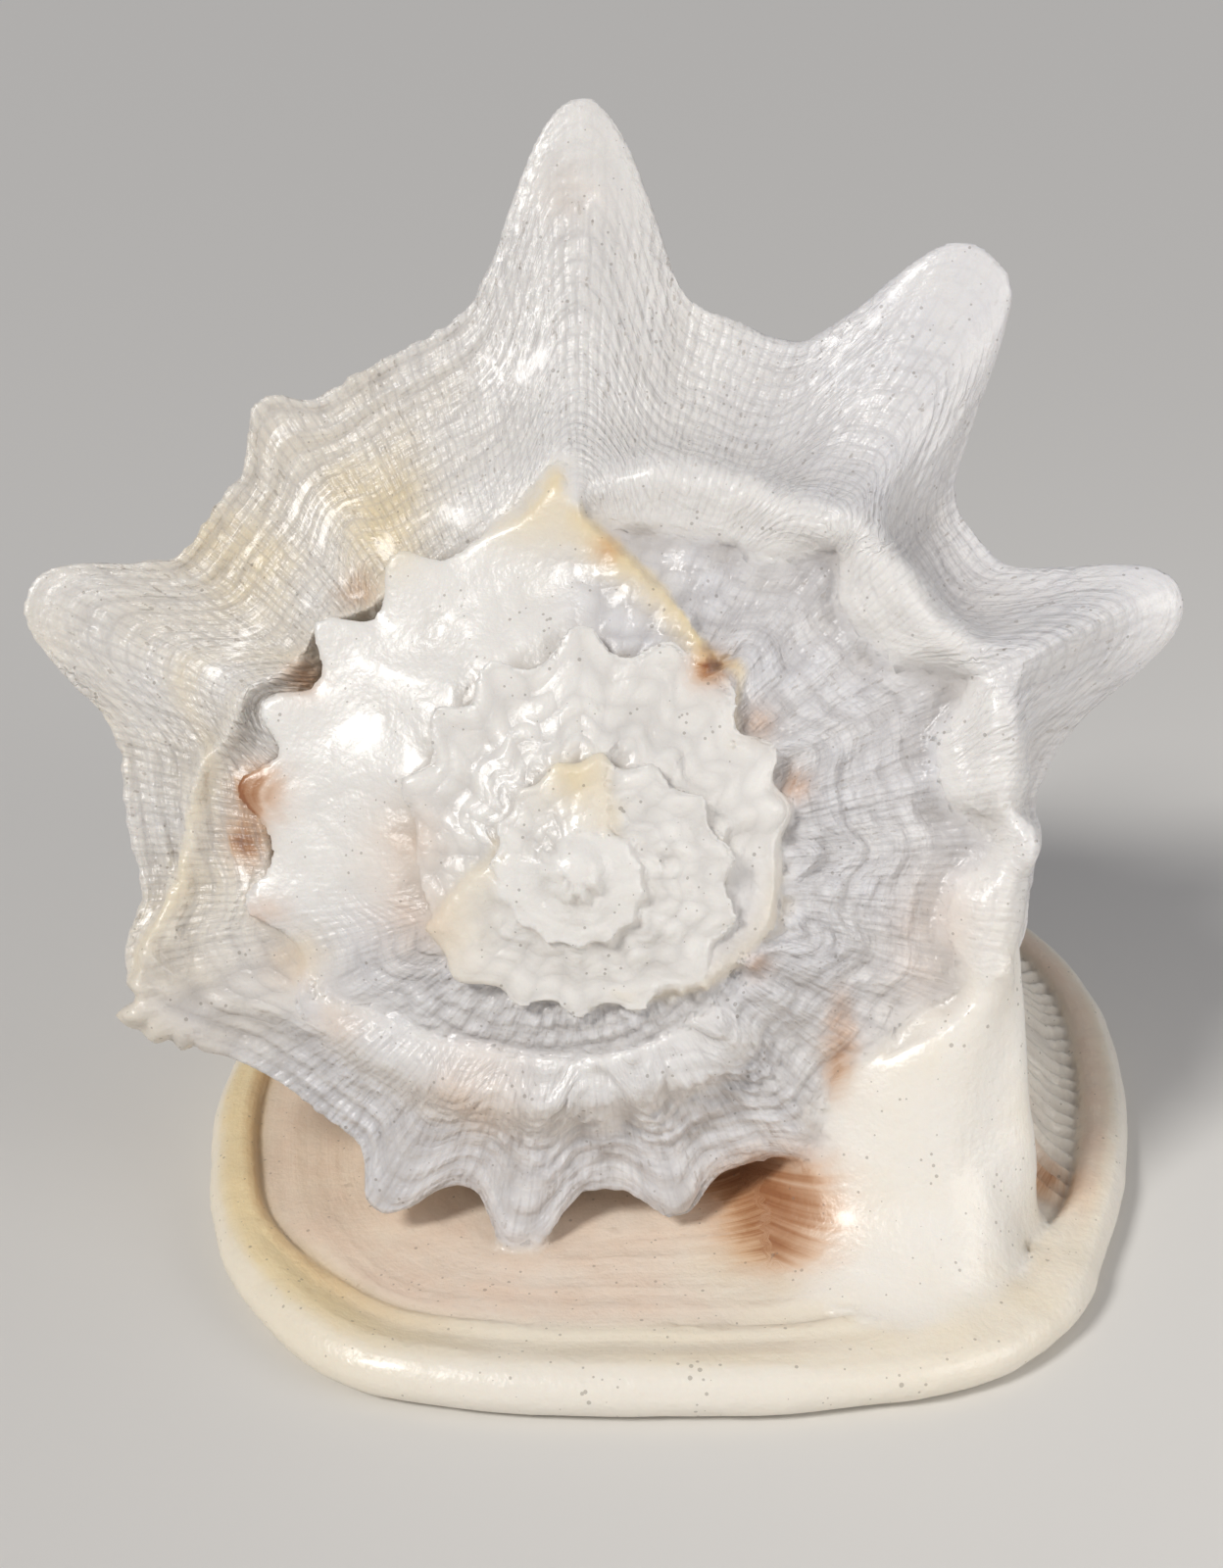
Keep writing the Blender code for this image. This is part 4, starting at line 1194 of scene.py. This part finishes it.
def grow_shell():
    """Grows one skin over all the shell's bodies, then lifts and paints it by how old each point is."""
    rings, surface, growth, along = whorl_sections()
    rim, rim_around, rim_across = rim_sections()
    canal, ridge, callus = limb_rings(CANAL_WAY), limb_rings(RIDGE_WAY), callus_rings()
    bpy.ops.object.select_all(action="DESELECT")
    bpy.ops.mesh.primitive_uv_sphere_add(segments=48, ring_count=32, radius=NUCLEUS_RADIUS * MM)
    nucleus = bpy.context.object
    place_points(nucleus, coordinates(nucleus) + from_axis(0.0, 0.0, NUCLEUS_LEVEL))
    blanks = [rolled_grid("helmet_shell", rings)]
    blanks += [rolled_grid("blank", r) for r in (rim, canal, ridge, callus)]
    shell = grow_together([*blanks, nucleus], "helmet_shell")
    soften(shell, SOFT_PLACES, SOFT_ROUNDS)
    cut_away(shell, rolled_grid("mouth_tool", mouth_rings()))
    bpy.ops.mesh.primitive_cube_add(size=TRIM_BLOCK, location=(0, 0, -TRIM_BLOCK / 2))
    cut_away(shell, bpy.context.object)
    only(shell)
    radius, _, level = to_axis(coordinates(shell))
    split_faces(shell, (radius < FINE_RADIUS) & (level > FINE_LEVEL))

    sheets = [(WHORL, surface, growth, along), (RIM, rim, rim_around, rim_across)]
    sheets += [(kind, r, *plain_grid(r)) for kind, r in ((LIMB, canal), (CALLUS, ridge), (CALLUS, callus))]
    tree, table = growth_table(sheets)
    points = coordinates(shell)
    height = even_jumps(edge_ends(shell), relief(points, *look_up(points, tree, table)))
    lift_skin(shell, height * smooth_step(points[:, 2], *FOOT_FREE))
    apply_modifier(shell, "DECIMATE", ratio=TRIANGLES / (2 * len(shell.data.polygons)))
    points = coordinates(shell)
    paint(shell, points, *look_up(points, tree, table))
    shell.data.materials.clear()
    shell.data.materials.append(shell_lime())
    bpy.ops.object.shade_smooth()
    return shell


def lay_floor():
    bpy.ops.mesh.primitive_plane_add(size=FLOOR_SIZE)
    floor = bpy.context.object
    floor.name = "floor"
    floor.data.materials.append(matt_board())
    return floor


def set_camera():
    """Camera at the photograph's place, tilt and angle of view."""
    camera_data = bpy.data.cameras.new("camera")
    camera = bpy.data.objects.new("camera", camera_data)
    bpy.context.scene.collection.objects.link(camera)
    camera.location = [c * MM for c in CAMERA_PLACE]
    camera.rotation_euler = (math.radians(CAMERA_TILT), 0, 0)
    camera_data.lens = CAMERA_LENS
    camera_data.sensor_width = CAMERA_SENSOR
    bpy.context.scene.camera = camera


def lamp(kind, name, place, power, **settings):
    """Adds a lamp that looks at the shell's middle."""
    bpy.ops.object.light_add(type=kind, location=[c * MM for c in place])
    light = bpy.context.object
    light.name = name
    light.data.energy = power
    for setting, value in settings.items():
        setattr(light.data, setting, value)
    towards = Vector((0, 0, LAMP_AIM * MM)) - light.location
    light.rotation_euler = towards.to_track_quat("-Z", "Y").to_euler()


def light_room():
    """Grey room with a broad soft key from the upper left and a weak fill from the right."""
    bpy.context.scene.view_settings.view_transform = "Standard"
    world = bpy.data.worlds.new("room")
    bpy.context.scene.world = world
    world.use_nodes = True
    world.node_tree.nodes["Background"].inputs["Color"].default_value = colour("#7A7B80")
    lamp("SUN", "key", (-380, -340, 560), 1.95, angle=math.radians(14), color=(1.0, 0.98, 0.95))
    lamp("AREA", "fill", (520, -380, 330), 1.5, size=400 * MM, color=(1.0, 0.97, 0.93))


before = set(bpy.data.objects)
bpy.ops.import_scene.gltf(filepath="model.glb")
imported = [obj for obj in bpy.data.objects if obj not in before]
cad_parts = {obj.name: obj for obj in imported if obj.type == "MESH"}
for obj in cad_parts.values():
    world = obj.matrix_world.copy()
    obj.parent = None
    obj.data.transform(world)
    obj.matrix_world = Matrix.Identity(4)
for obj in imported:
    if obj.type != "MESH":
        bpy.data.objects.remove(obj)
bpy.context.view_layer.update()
ALL_SPIKES = all_spikes()
shell = grow_shell()
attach(shell, "root")
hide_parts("shell")
lay_floor()
set_camera()
light_room()
